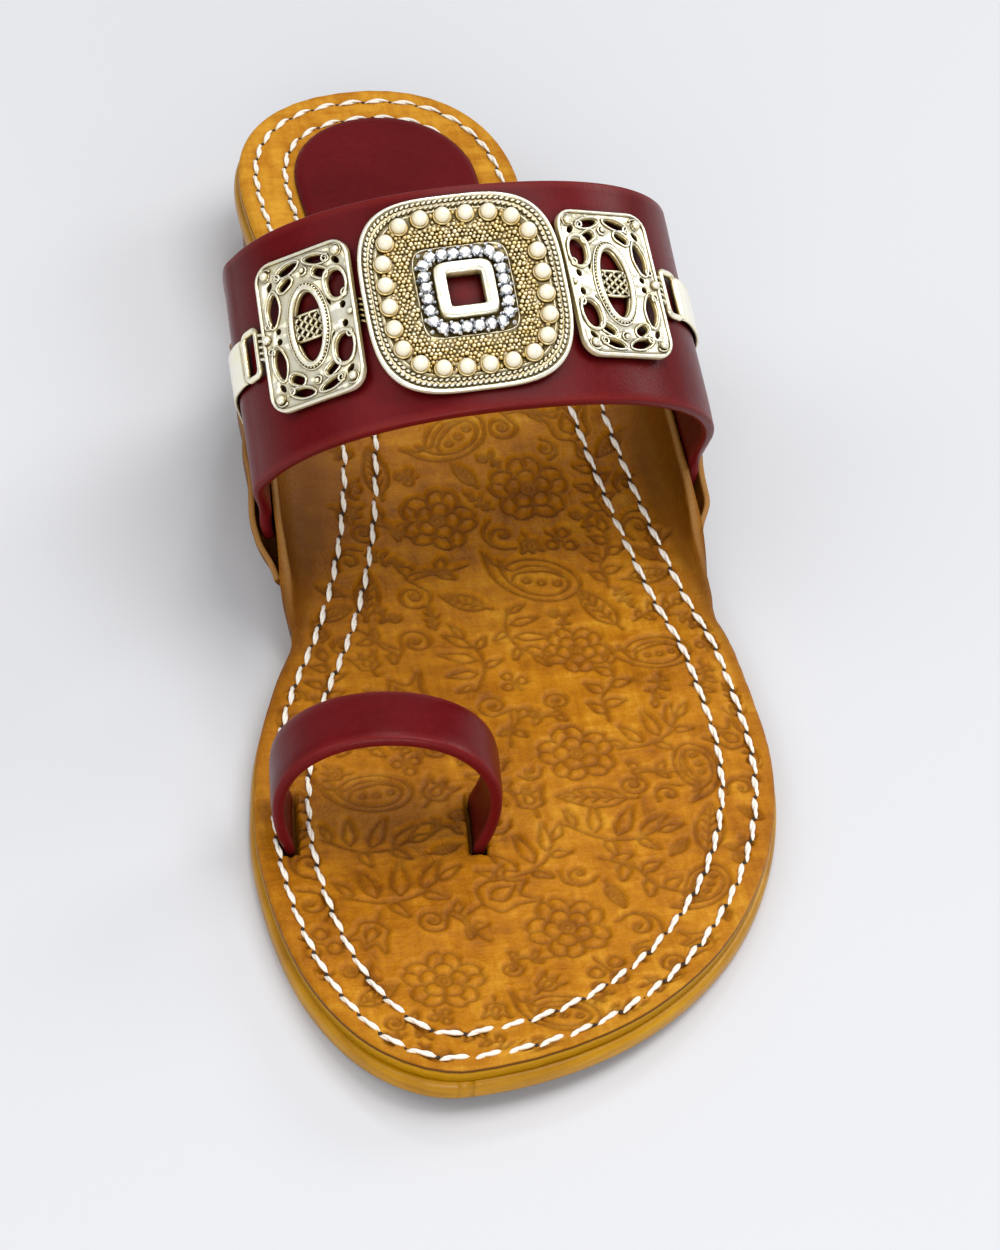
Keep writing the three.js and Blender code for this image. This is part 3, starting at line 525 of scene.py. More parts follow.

# %% [markdown]
# Cast metal is bright on its high places and dark in its hollows. The finish paints a whitish highlight on
# high ground and a deeper yellow shade on low ground, and darkens the deepest corners with patina and
# painted shade. A pure mirror would show only the studio's white walls, so the finish is half metal. Two
# crevice readings of different reach tell high ground from low ground and from the deepest corners.

# %% Gold plate
def gold_finish(name, light, dark, roughness, reach=0.0009, metallic=0.38):
    finish = Finish(name, light, roughness, Metallic=metallic, Specular_IOR_Level=0.8)
    wear = finish.noise(900, 4, 0.6)
    open_sky = finish.crevice(reach)
    low_ground = finish.crevice(0.005)
    # Painted shade on low ground in a deeper yellow, and a painted whitish highlight on high ground
    shaded_gold = tuple(c * k for c, k in zip(light, (0.84, 0.68, 0.34)))
    tone = (finish.noise(420, 4, 0.6) * 0.4 + low_ground * 0.5).clamped()
    highlight_and_shade_tint = finish.ramp(tone, [(0.42, shaded_gold), (0.58, light), (0.74, (1.0, 0.975, 0.84))])
    # Patina and painted shade in the deepest corners
    finish.color(finish.mix((open_sky ** 3.0).clamped(), dark, highlight_and_shade_tint))
    finish.rough((roughness + wear * 0.16 - 0.04).clamped())
    finish.bump(wear + finish.cells(1100) * 0.7, 0.38, 0.00014)
    return finish.material


def hole_shade_finish():
    # The dark of a needle hole is painted shade
    finish = Finish("needle_hole_shade", (0.02, 0.01, 0.006), 0.8)
    dark = [(0.3, (0.012, 0.006, 0.004)), (0.7, (0.04, 0.018, 0.008))]
    finish.color(finish.ramp(finish.noise(1200), dark))
    return finish.material

# %% [markdown]
# A pearl has a soft body under a clear coat, and painted gold-brown shade where it meets its cup and its
# neighbours. A stone is a bright metal-like body with painted glints: patches that are either light or dark,
# as reflections in facets are, and painted shade in its crevices.

# %% Pearls and stones
def pearl_finish():
    finish = Finish("pearl", (0.93, 0.9, 0.84), 0.12, Coat_Weight=1.0, Coat_Roughness=0.04)
    gap = finish.crevice(0.0012)
    body = finish.ramp(finish.noise(300, 2), [(0.3, (0.86, 0.78, 0.56)), (0.7, (0.96, 0.90, 0.74))])
    # Painted gold-brown shade where the pearl meets its cup and neighbours
    finish.color(finish.mix((gap ** 1.1).clamped(), (0.62, 0.45, 0.16), body))
    return finish.material


def stone_finish():
    finish = Finish("cut_stone", (0.78, 0.84, 0.92), 0.06, Metallic=0.7, Specular_IOR_Level=0.9)
    gap = finish.crevice(0.0005)
    # Painted glints: light and dark patches stand in for reflections in the facets
    glints = [(0.38, (0.20, 0.21, 0.23)), (0.46, (0.84, 0.87, 0.92)), (0.55, (1.0, 1.0, 1.0))]
    body = finish.ramp(finish.noise(1100, 2, 0.6), glints)
    # Painted shade, near black, in the crevices
    finish.color(finish.mix((gap ** 1.4).clamped(), (0.03, 0.03, 0.035), body))
    return finish.material

# %% [markdown]
# Each finish is made once and shared by the pieces that have it.

# %% Make the finishes
tan = tan_leather()
mustard = edge_leather()
stacked = heel_leather()
maroon = maroon_leather()
cream = thread_finish()
gold = gold_finish("pale_gold", (1.0, 0.93, 0.62), (0.06, 0.03, 0.004), 0.14, 0.0014, 0.55)
warm_gold = gold_finish("granulated_gold", (1.0, 0.87, 0.43), (0.30, 0.16, 0.012), 0.22, 0.0009)
needle_shade = hole_shade_finish()
pearl = pearl_finish()
crystal = stone_finish()
print("Finishes:", len(bpy.data.materials))


# %% [markdown]
# ## Outsole and heel
# A shoemaker cuts both layers to the same outline. To offset an outline inwards, each of its points moves
# at a right angle to the edge. Near the tips of toe and heel the points lie close, so the direction is
# read across three millimetres and neighbouring points never cross.

# %% Outline of the sole
def outline(ats, inset=0.0):
    """The closed outline of the sole, medial side from heel to toe and back along the lateral side."""
    left = np.stack([sole_edge(-1, ats), along(ats)], -1)[::-1]
    right = np.stack([sole_edge(1, ats), along(ats)], -1)
    ring = np.concatenate([left, right])
    closed = np.vstack([ring, ring[:1]])
    arc = arc_of(closed)

    def place(reach):
        return np.column_stack([np.interp((arc[:-1] + reach) % arc[-1], arc, closed[:, k]) for k in (0, 1)])

    ahead = place(1.5) - place(-1.5)
    ahead /= np.linalg.norm(ahead, axis=1, keepdims=True)
    return ring + inset * np.stack([-ahead[:, 1], ahead[:, 0]], -1)


def at_of(y):
    return np.clip(1 + y / sole_length, 0, 1)

# %% [markdown]
# A layer is a stack of rings. Each is the outline, offset inwards a little at the top and the bottom so
# that the edge is round, and flat faces across the sole close it. The layer follows the sole's profile,
# so it bends up at the waist, which a flat extrusion would not.

# %% A layer of the sole
def layer(name, ats, section, heights, material, under_from):
    """A layer of the sole from rings: section lists (inset, share of the way from top to bottom)."""
    rings, under = [], []
    for inset, share in section:
        ring = outline(ats, inset)
        top, bottom = heights(at_of(ring[:, 1]))
        rings.append(np.column_stack([ring, top + (bottom - top) * share]))
        under += [float(share >= under_from and inset > 0.9)] * len(ring)
    count = len(rings[0])
    faces = []
    for k in range(len(rings) - 1):
        a = k * count + np.arange(count)
        b = k * count + (np.arange(count) + 1) % count
        faces += np.stack([a, b, b + count, a + count], -1).tolist()
    half = count // 2
    for start in (0, (len(rings) - 1) * count):
        for i in range(half - 1):
            faces.append([start + half - 1 - i, start + half + i, start + half + i + 1, start + half - 2 - i])
    piece = make_piece(name, np.concatenate(rings), faces, material)
    spread(piece, "under", np.concatenate(rings), np.array(under))
    return piece


def spread(piece, name, points, values):
    """Writes a value for each point as an attribute, matching the piece's merged points by place."""
    keys = np.round(to_row(points) * 1e6).astype(int).tolist()
    table = {tuple(key): value for key, value in zip(keys, values)}
    count = len(piece.data.vertices)
    place = np.empty(count * 3)
    piece.data.vertices.foreach_get("co", place)
    merged = np.round(place.reshape(-1, 3) * 1e6).astype(int).tolist()
    found = np.array([table.get(tuple(key), 0.0) for key in merged], np.float32)
    piece.data.attributes.new(name, "FLOAT", "POINT").data.foreach_set("value", found)

# %% [markdown]
# The outsole is one layer of thick leather. Its cut edge is waxed to a mustard shine, and its underside
# is plain brown.

# %% Outsole
fine = 0.5 - 0.5 * np.cos(np.pi * np.linspace(0, 1, 321))
rounding = [(1.6, 0.0), (0.75, 0.02), (0.28, 0.12), (0.03, 0.3), (0.0, 0.5), (0.05, 0.72), (0.32, 0.9),
            (0.8, 0.985), (1.7, 1.0)]


def outsole_heights(at):
    top = footbed_top(at) - footbed_thickness - seat_gap
    return top, top - outsole_thickness


outsole = layer("outsole_layer", fine, rounding, outsole_heights, mustard, 0.95)
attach(outsole, "root")
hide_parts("outsole")

# %% [markdown]
# The heel is low, with a straight breast and sides that lean in a little towards the floor. Its section
# gives the lean, and the same `layer` builds it.

# %% Heel
heel_ats = 1 - heel_breast / sole_length * (1 - np.sin(np.linspace(0, math.pi / 2, 90)))
heel_ats = np.clip(heel_ats, 0, 1 - heel_inset / sole_length * 0.2)


def heel_heights(at):
    return footbed_top(at) - sole_stack - seat_gap, 0 * at


heel_lean = [(1.0, 0.0), (0.25, 0.01), (0.0, 0.05), (0.7, 0.5), (1.3, 0.95), (1.6, 0.99), (2.4, 1.0)]
heel_section = [(heel_inset + further, share) for further, share in heel_lean]
heel = layer("heel_stack", heel_ats, heel_section, heel_heights, stacked, 2.0)
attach(heel, "root")
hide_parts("heel")
print("Outsole and heel:", len(outsole.data.polygons), len(heel.data.polygons), "faces")

# %% [markdown]
# ## Tooled lines
# The pattern is a traditional one of roses, paisleys, leaves and curls, pressed into damp leather with
# stamps and a swivel knife. Each motif is a few lines in its own small frame. The lines are drawn into a
# field: a fine map of the distance to the nearest line, which the mesh then reads for its depth.

# %% A field of distances to drawn lines
class LineField:
    """Distance in millimetres to the nearest drawn line, on a fine map of the footbed's plan."""

    def __init__(self, reach, step=0.2):
        self.reach, self.step = reach, step
        self.low = np.array([-52.0, -258.0])
        self.shape = (int(104 / step) + 1, int(260 / step) + 1)
        self.map = np.full(self.shape, reach, np.float32)

    def draw(self, line):
        line = np.asarray(line, float)
        for a, b in zip(line[:-1], line[1:]):
            low = np.floor((np.minimum(a, b) - self.reach - self.low) / self.step).astype(int)
            high = np.ceil((np.maximum(a, b) + self.reach - self.low) / self.step).astype(int) + 1
            low = np.clip(low, 0, self.shape)
            high = np.clip(high, 0, self.shape)
            if (high <= low).any():
                continue
            x = self.low[0] + self.step * np.arange(low[0], high[0])[:, None]
            y = self.low[1] + self.step * np.arange(low[1], high[1])[None]
            d = b - a
            t = np.clip(((x - a[0]) * d[0] + (y - a[1]) * d[1]) / max(d @ d, 1e-9), 0, 1)
            distance = np.hypot(x - a[0] - t * d[0], y - a[1] - t * d[1])
            window = self.map[low[0]:high[0], low[1]:high[1]]
            np.minimum(window, distance, out=window)

    def at(self, x, y):
        u = np.clip((x - self.low[0]) / self.step, 0, self.shape[0] - 1.001)
        v = np.clip((y - self.low[1]) / self.step, 0, self.shape[1] - 1.001)
        i, j = u.astype(int), v.astype(int)
        fu, fv = u - i, v - j
        m = self.map
        return ((m[i, j] * (1 - fu) + m[i + 1, j] * fu) * (1 - fv)
                + (m[i, j + 1] * (1 - fu) + m[i + 1, j + 1] * fu) * fv)

# %% [markdown]
# All motifs are drawn with two strokes: an arc whose radius may grow, which also gives spirals, and a
# smooth line bent through a few points.

# %% Arcs and bent lines
def polar(radius, start, end, count=24, centre=(0, 0)):
    a = np.linspace(start, end, count) * 2 * math.pi
    r = np.linspace(*radius, count) if isinstance(radius, tuple) else radius
    return np.column_stack([centre[0] + r * np.cos(a), centre[1] + r * np.sin(a)])


def turned(degrees):
    """The matrix that turns rows of x, y anticlockwise."""
    c, s = math.cos(math.radians(degrees)), math.sin(math.radians(degrees))
    return np.array([[c, s], [-s, c]])


def bent(points, count=16):
    """A smooth line through a few points."""
    p = np.asarray(points, float)
    p = np.vstack([2 * p[0] - p[1], p, 2 * p[-1] - p[-2]])
    out = []
    for i in range(1, len(p) - 2):
        t = np.linspace(0, 1, count)[:, None]
        a, b, c, d = p[i - 1:i + 3]
        cubic = (3 * b - a - 3 * c + d) * t**3
        out.append(0.5 * (2 * b + (c - a) * t + (2 * a - 5 * b + 4 * c - d) * t**2 + cubic))
    return np.vstack(out)


# %% [markdown]
# A motif is drawn at size 1: a rose has five notched petals round a double centre, a paisley is a bent drop
# with an inner drop and three seeds, a scroll is a stem that ends in a spiral and carries small leaves.

# %% Roses and paisleys
def leaflet(x, y, turn, length, width=0.3):
    upper = bent([(0, 0), (0.35 * length, width * length), (length, 0.04 * length)], 8)
    return [(upper * sign) @ turned(turn) + [x, y] for sign in ([1, 1], [1, -1])]


def rose():
    a = np.linspace(0, 2 * math.pi, 121)
    lobe = np.abs(np.cos(2.5 * a)) ** 0.55
    notch = 0.10 * np.exp(-((np.mod(a + math.pi / 5, 2 * math.pi / 5) - math.pi / 5) / 0.11) ** 2)
    edge = 0.62 + 0.38 * lobe - notch
    petals = np.column_stack([edge * np.cos(a), edge * np.sin(a)])
    inner = 0.36 + 0.22 * lobe
    heart = np.column_stack([inner * np.cos(a), inner * np.sin(a)])
    lines = [petals, heart, polar(0.2, 0, 1), polar(0.09, 0, 1, 10)]
    for k in range(5):
        valley = (k + 0.5) / 5
        lines.append(np.vstack([polar(0.22, valley, valley, 1), polar(0.60, valley, valley, 1)]))
        lines.append(np.vstack([polar(0.62, k / 5, k / 5, 1), polar(0.82, k / 5, k / 5, 1)]))
    return lines


def drop(scale, shift=(0.0, 0.0)):
    body = [(-0.95, 0.52), (-0.62, 0.2), (-0.2, 0.42), (0.35, 0.45), (0.8, 0.2), (0.92, -0.12), (0.66, -0.45),
            (0.2, -0.55), (-0.3, -0.42), (-0.72, -0.06), (-0.95, 0.52)]
    return bent(np.array(body) * scale + np.array(shift), 8)


def paisley():
    seeds = [polar(0.07, 0, 1, 8, (x, y)) for x, y in ((0.5, -0.08), (0.2, -0.1), (-0.08, -0.08))]
    vein = bent([(0.62, 0.1), (0.3, 0.2), (-0.05, 0.14), (-0.3, 0.05), (-0.36, -0.12)], 8)
    return [drop(1.0), drop(0.72, (0.05, -0.02)), vein, *seeds]

# %% [markdown]
# The ground between the large motifs is filled with growing things. They share one leaflet, turned and
# placed along a bent stem.

# %% Leaves, scrolls and sprigs
def leaf():
    up = bent([(-1, 0), (-0.5, 0.34), (0.2, 0.36), (1, 0.02)], 8)
    veins = [np.array([[x, 0], [x + 0.24, y]]) for x in (-0.6, -0.25, 0.1, 0.42) for y in (0.2, -0.2)]
    return [up, up * [1, -1], np.array([[-1.25, 0], [0.8, 0]]), *veins]


def scroll():
    head = polar((0.1, 0.6), 0.0, 1.45, 50, (0.5, 0.0))
    stem = bent([head[-1], (0.1, -0.72), (-0.55, -0.55), (-1.15, -0.05), (-1.75, 0.15)], 10)
    second = bent([(0.0, -0.52), (-0.55, -0.36), (-1.1, 0.1)], 10)
    return [head, stem, second, polar(0.1, 0, 1, 8, (0.5, 0.0)), *leaflet(-0.2, -0.72, -70, 0.6),
            *leaflet(-0.9, -0.3, 105, 0.65), *leaflet(-0.95, -0.3, 215, 0.55)]


def sprig():
    lines = [bent([(-1, -0.3), (-0.3, 0.1), (0.4, 0.05), (1, 0.35)], 10)]
    leaves = [(-0.75, -0.17, 75), (-0.5, 0.0, -50), (-0.1, 0.12, 80), (0.2, 0.08, -45), (0.6, 0.12, 85),
              (0.95, 0.33, 25)]
    for x, y, turn in leaves:
        lines += leaflet(x, y, turn, 0.55, 0.26)
    return lines


def fringe():
    lines = [bent([(-1, 0), (-0.3, -0.3), (0.4, -0.25), (1, 0.2)], 10)]
    leaves = [(-0.8, 118, 0.5), (-0.4, 96, 0.75), (0.05, 74, 0.9), (0.5, 52, 0.8), (0.85, 28, 0.55)]
    for x, turn, length in leaves:
        lines += leaflet(x, -0.2 + 0.3 * x * x, turn, length, 0.17)
    return lines + leaflet(-0.2, -0.32, -60, 0.5, 0.2) + leaflet(0.45, -0.24, -30, 0.5, 0.2)

# %% [markdown]
# Tulips, hooks and berries are the small stamps of the set.

# %% Small motifs
def tulip():
    half = bent([(0, -0.7), (0.55, -0.45), (0.6, 0.1), (0.85, 0.75), (0.35, 0.4), (0, 0.85)], 8)
    inner = bent([(0, -0.4), (0.26, -0.1), (0, 0.5)], 8)
    return [half, half * [-1, 1], inner, inner * [-1, 1], np.array([[0, -0.7], [0.05, -1.3]])]


def hook():
    stem = bent([(0.72, 0.4), (0.55, -0.5), (-0.2, -0.85), (-0.9, -0.5)], 8)
    return [polar((0.12, 0.75), 0.1, 1.0, 26), stem, polar(0.12, 0, 1, 8)]


def berries():
    return [polar(0.3, 0, 1, 12, (x, y)) for x, y in ((0, 0.5), (-0.5, -0.25), (0.5, -0.25))] + [
        np.array([[0, 0.2], [0, -0.9]])]


motifs = {"rose": rose(), "paisley": paisley(), "leaf": leaf(), "scroll": scroll(), "sprig": sprig(),
          "fringe": fringe(), "tulip": tulip(), "hook": hook(), "berries": berries()}

# %% [markdown]
# A machine would repeat one tile. A hand-tooled sole does not, so its motifs are laid out one by one:
# flowers and paisleys, with leaves, curls and fringes between them.

# %% Layout of the pattern
# The layout: motif, place across and along in millimetres, size, turn in degrees
layout = [
    ("rose", -19.5, -233.5, 7.0, 10), ("rose", 3.0, -223.5, 7.2, 40), ("paisley", -3.0, -243.0, 8.0, -14),
    ("scroll", -17.0, -220.5, 4.6, 150), ("scroll", -6.5, -231.5, 3.2, 200),
    ("fringe", -24.0, -211.5, 9.0, 8), ("scroll", 17.5, -235.0, 4.0, 40), ("tulip", -6.5, -214.5, 6.0, -60),
    ("fringe", -1.0, -207.0, 8.0, 35), ("sprig", 17.5, -213.0, 7.5, -55), ("paisley", 27.5, -217.0, 6.8, 60),
    ("fringe", 15.5, -201.5, 8.5, -12), ("leaf", 31.5, -203.0, 6.0, 75), ("leaf", 13.0, -193.5, 6.2, 172),
    ("paisley", 32.5, -189.0, 7.4, 100), ("scroll", 22.5, -190.5, 4.2, 200),
    ("paisley", -25.5, -188.5, 8.6, 4), ("fringe", -26.5, -200.0, 8.0, -8), ("rose", 12.5, -182.5, 7.0, 28),
    ("fringe", 26.5, -178.5, 7.5, 30), ("scroll", 0.5, -171.5, 4.8, 100), ("scroll", 10.0, -170.0, 3.8, 30),
    ("sprig", -3.0, -187.0, 7.0, 80), ("sprig", 21.5, -167.5, 7.4, 60), ("paisley", 30.5, -158.0, 8.0, 8),
    ("rose", 17.5, -156.0, 6.2, 50), ("scroll", -10.5, -180.0, 3.8, 140), ("scroll", -23.0, -174.0, 5.0, 20),
    ("tulip", -15.0, -165.5, 6.2, 20), ("sprig", -27.5, -161.0, 6.4, 70),
    ("scroll", -13.0, -150.5, 5.2, 340), ("fringe", -2.0, -157.5, 7.6, 88),
    ("fringe", 8.5, -151.0, 7.0, -80), ("leaf", 23.5, -145.5, 5.6, 120), ("paisley", 12.8, -137.3, 9.6, -12),
    ("scroll", -7.0, -138.5, 5.6, 215), ("leaf", -17.5, -139.0, 5.2, 80), ("sprig", 27.5, -134.0, 6.6, 65),
    ("rose", -2.0, -122.5, 7.2, 0), ("rose", 16.1, -116.5, 7.6, 20), ("scroll", -14.0, -124.5, 4.2, 170),
    ("sprig", 29.0, -117.0, 6.6, 80), ("paisley", 2.8, -104.0, 8.8, 40), ("leaf", -12.0, -110.5, 5.4, 95),
    ("scroll", 15.5, -101.0, 5.0, 200), ("tulip", 26.0, -102.0, 5.6, 10), ("scroll", -10.0, -96.0, 4.4, 60),
    ("fringe", 7.0, -92.0, 7.6, 0),
]
tooling = LineField(1.8)
spread_out = LineField(7.0, 1.0)


def stamp(kind, x, y, size, turn):
    for line in motifs[kind]:
        placed = line * size @ turned(turn) + [x, y]
        tooling.draw(placed)
        spread_out.draw(placed[::3])


for entry in layout:
    stamp(*entry)

# %% [markdown]
# The maker fills what is left between the large motifs with small ones, wherever there is room.

# %% Small motifs in the gaps
dice = np.random.default_rng(11)
small = ["hook", "sprig", "berries", "leaf", "hook", "scroll", "tulip"]
filled = 0
for room in (5.0, 4.2, 3.6, 3.1, 2.7):
    for x, y in dice.uniform([-46, -251], [46, -88], (2600, 2)):
        at = 1 + y / sole_length
        if x < sole_edge(-1, at) + 1.0 + room or x > sole_edge(1, at) - 1.0 - room:
            continue
        if spread_out.at(np.array([x]), np.array([y]))[0] < room:
            continue
        kind = small[filled % len(small)]
        stamp(kind, x, y, room * (0.62 if kind == "scroll" else 0.86), dice.uniform(0, 360))
        filled += 1
print("Motifs stamped:", len(layout), "large and", filled, "small")

# %% [markdown]
# ## Footbed
# The footbed is the tooled top layer. The toe loop passes through it in two slots, so the places of the
# loop come first.

# %% Loop and slot places
loop_width, loop_thickness, loop_span, loop_height = 13.5, 2.0, 38.6, 26.4
loop_belly, loop_tuck, loop_drop, loop_from_heel, loop_x = 10.0, 2.2, 1.6, 196.5, -23.7
loop_yaw, loop_squareness, loop_leg_share = math.radians(-6), 2.08, 0.2
loop_base = float(footbed_top(1 - loop_from_heel / sole_length))


def loop_place(x, y, z):
    c, s = math.cos(loop_yaw), math.sin(loop_yaw)
    x, y, z = np.broadcast_arrays(x, y, z)
    return np.stack([loop_x + c * x - s * y, -loop_from_heel + s * x + c * y, z * 1.0], -1)


def slot_depth(x, y):
    """1 inside one of the two slots that the loop passes through, 0 outside."""
    c, s = math.cos(loop_yaw), math.sin(loop_yaw)
    u = (x - loop_x) * c + (y + loop_from_heel) * s
    v = -(x - loop_x) * s + (y + loop_from_heel) * c
    foot = loop_span / 2 - loop_tuck - loop_thickness / 2 - 0.25
    near = np.minimum(np.abs(u - foot), np.abs(u + foot))
    return smooth((1.75 - near) / 0.35) * smooth((loop_width / 2 + 0.7 - np.abs(v)) / 0.35)


# %% [markdown]
# Two more fields of distances tell how far a point is from the cut edge and from the rows of stitches.
# The seam lines are spaced evenly and averaged, because a row of stitches never turns a corner.

# %% Cut edge and seams
edge_ats = 0.5 - 0.5 * np.cos(np.pi * np.linspace(0, 1, 700))
cut_edges = {side: ear_point(side, edge_ats, 1.0)[0] for side in (-1, 1)}
cut_field = LineField(2.6)
cut_field.draw(np.concatenate([cut_edges[-1][::-1, :2], cut_edges[1][:, :2]]))
seam_field = LineField(2.6)

stitch_rows = {"outer": 4.0, "inner": 9.8}
walk = 0.5 - 0.5 * np.cos(np.pi * np.linspace(0, 1, 900))


def seam_path(inset):
    """The line of a stitch row, in even steps; at the toe the rows keep closer to the edge."""
    ring = outline(walk, inset)
    ring[:, 1] -= 1.5 * smooth((-222 - ring[:, 1]) / 30)
    closed = np.vstack([ring, ring[:1]])
    arc = arc_of(closed)
    even_steps = np.linspace(0, arc[-1], 1201)[:-1]
    path = np.column_stack([np.interp(even_steps, arc, closed[:, k]) for k in (0, 1)])
    return sum(np.roll(path, k, axis=0) for k in range(-8, 9)) / 17


seams = {name: seam_path(inset) for name, inset in stitch_rows.items()}
for seam in seams.values():
    seam_field.draw(np.vstack([seam, seam[:1]]))

# %% [markdown]
# The footbed is one sheet: flat over the sole, turned up into an ear on each side of the waist. It is
# described in a flat plan first, where u runs from one cut edge to the other.

# %% The footbed's face
def footbed_surface(u, y):
    """Point and normal. u: -2..-1 medial ear, -1..1 middle, 1..2 lateral."""
    at = at_of(y)
    left, left_normal = ear_point(-1, at, np.clip(-1 - u, 0, 1))
    right, right_normal = ear_point(1, at, np.clip(u - 1, 0, 1))
    share = np.clip((u + 1) / 2, 0, 1)[:, None]
    in_left, in_right = (u < -1)[:, None], (u > 1)[:, None]
    points = np.where(in_left, left, np.where(in_right, right, left * (1 - share) + right * share))
    normals = np.where(in_left, left_normal, np.where(in_right, right_normal, [0.0, 0.0, 1.0]))
    points[:, 1] = points[:, 1] * (1 - 2 * footbed_inset / sole_length) - footbed_inset
    return points, normals


def tooled_depth(x, y, quiet):
    """How far the leather is pressed in, and how dark the line is."""
    d = tooling.at(x, y)
    line = np.exp(-(d / 0.37) ** 2) * quiet
    lip = np.exp(-((d - 1.05) / 0.4) ** 2) * quiet
    return 0.52 * line - 0.17 * lip, line

# %% [markdown]
# A tooled line is under a millimetre wide, and a grid that fine everywhere would be too heavy for one
# piece. The plan is meshed at a little over a millimetre and split in three only where a tooled line or a
# slot passes.

# %% The footbed's plan
row_count = 208
rows_y = -sole_length * (0.5 + 0.5 * np.cos(np.pi * np.linspace(0, 1, 41)))
body_y = np.linspace(-sole_length + 6, -6, row_count)
rows_y = np.concatenate([rows_y[rows_y < body_y[0]], body_y, rows_y[rows_y > body_y[-1]]])
ear_steps = 1 - (1 - np.linspace(0, 1, 19)) ** 1.7
columns_u = np.concatenate([-1 - ear_steps[::-1], np.linspace(-1, 1, 73)[1:-1], 1 + ear_steps])
rows, columns = len(rows_y), len(columns_u)
plan = bmesh.new()
grid_y, grid_u = np.meshgrid(rows_y, columns_u, indexing="ij")
plan_verts = [plan.verts.new((u, y, 0)) for u, y in zip(grid_u.ravel(), grid_y.ravel())]
for face in grid_faces(rows, columns):
    plan.faces.new([plan_verts[k] for k in face])
points, _ = footbed_surface(grid_u.ravel(), grid_y.ravel())
busy = (tooling.at(points[:, 0], points[:, 1]) < 0.75) | (slot_depth(points[:, 0], points[:, 1]) > 0)
busy &= (np.abs(grid_u.ravel()) < 1.55) & (cut_field.at(points[:, 0], points[:, 1]) > 1.6)
plan.verts.ensure_lookup_table()
plan.edges.index_update()
busy_faces = {face for vert, is_busy in zip(plan.verts, busy) if is_busy for face in vert.link_faces}
split = sorted({edge for face in busy_faces for edge in face.edges}, key=lambda edge: edge.index)
bmesh.ops.subdivide_edges(plan, edges=split, cuts=2, use_grid_fill=True)
plan.verts.index_update()
plan_points = np.array([vert.co[:2] for vert in plan.verts])
plan_faces = [[vert.index for vert in face.verts] for face in plan.faces]
plan.free()
print("Footbed plan:", len(plan_faces), "faces")

# %% [markdown]
# Now each point of the plan is lifted to its place and pressed in along the leather's own normal: by the
# tooled line, by the pull of the thread, by the slots and by the rounded cut edge. Bump in the material
# could fake the lines, but they would vanish at the outline and in the exported mesh.

# %% Press the pattern in
u, y = plan_points[:, 0], plan_points[:, 1]
points, normals = footbed_surface(u, y)
x_plan, y_plan = points[:, 0], points[:, 1]
side = np.where(u < 0, -1, 1)
at = at_of(y)
rise = np.where(side < 0, column(ears[-1], at, 2), column(ears[1], at, 2))
upright = smooth(rise / 0.6)
edge_arc = np.zeros(len(u))
for s in (-1, 1):
    chosen = np.abs(u) > 1
    chosen &= side == s
    here = ear_point(s, at[chosen], np.abs(u[chosen]) - 1)[0]
    end = ear_point(s, at[chosen], 1.0)[0]
    edge_arc[chosen] = np.linalg.norm(here - end, axis=-1)
edge_arc[np.abs(u) <= 1] = 9
rim = cut_field.at(x_plan, y_plan) * (1 - upright) + edge_arc * upright
quiet = smooth((rim - 1.2) / 1.5) * (1 - slot_depth(x_plan, y_plan))
depth, line = tooled_depth(x_plan, y_plan, quiet * smooth((1.7 - np.abs(u)) / 0.25))
seam_line = np.exp(-(seam_field.at(x_plan, y_plan) / 0.9) ** 2)
wave = 0.10 * np.sin(x_plan * 0.21 + 1.3) * np.sin(y_plan * 0.13)
swell = wave + 0.06 * np.sin(x_plan * 0.47 + y_plan * 0.31)
bend_radius = 0.9
drop_in = bend_radius * (1 - round_share(rim, bend_radius)) * 0.85
slots = slot_depth(x_plan, y_plan)
total = depth + 0.20 * seam_line + drop_in + 2.3 * slots - swell * smooth(rim / 4) * 0.6
upper_points = points - normals * total[:, None]

# %% [markdown]
# The underside is hidden, so it is a coarse grid one thickness below. The two grids are joined along
# their four sides into one closed sheet.

# %% Close the footbed
ear_lower = np.array([0, 0.35, 0.7, 1.0])
lower_u = np.concatenate([-1 - ear_lower[::-1], [0.0], 1 + ear_lower])
low_y, low_u = np.meshgrid(rows_y, lower_u, indexing="ij")
low_points, low_normals = footbed_surface(low_u.ravel(), low_y.ravel())
low_side = np.where(low_u.ravel() < 0, -1, 1)
low_at = at_of(low_y.ravel())
low_s = np.clip(np.abs(low_u.ravel()) - 1, 0, 1)
thick = np.where(low_side < 0, leather_depth(-1, low_at, low_s), leather_depth(1, low_at, low_s))
lower_points = low_points - low_normals * thick[:, None]
start = len(upper_points)
wide = len(lower_u)
faces = plan_faces + grid_faces(rows, wide, start, True)
left_top, right_top = np.arange(rows) * columns, np.arange(rows) * columns + columns - 1
left_low, right_low = start + np.arange(rows) * wide, start + np.arange(rows) * wide + wide - 1
for i in range(rows - 1):
    faces.append([left_top[i], left_top[i + 1], left_low[i + 1], left_low[i]])
    faces.append([right_top[i + 1], right_top[i], right_low[i], right_low[i + 1]])
for r in (0, rows - 1):
    top = [r * columns + j for j in range(columns)]
    faces.append(top + [start + r * wide + j for j in range(wide - 1, -1, -1)])
all_points = np.concatenate([upper_points, lower_points])
footbed = make_piece("footbed_tooled", all_points, faces, tan)

# %% [markdown]
# These attributes tell the finish where to darken the leather: in the lines, along the waist and the ears,
# near the cut edge, and as painted shade under the strap, under the loop and in the slots. Heel and toe are
# a little paler.

# %% Darken the footbed and paint its shade
waist = np.exp(-((y_plan + 122) / 36) ** 2)
side_dark = smooth((np.abs(u) - 0.55) / 0.9) * waist
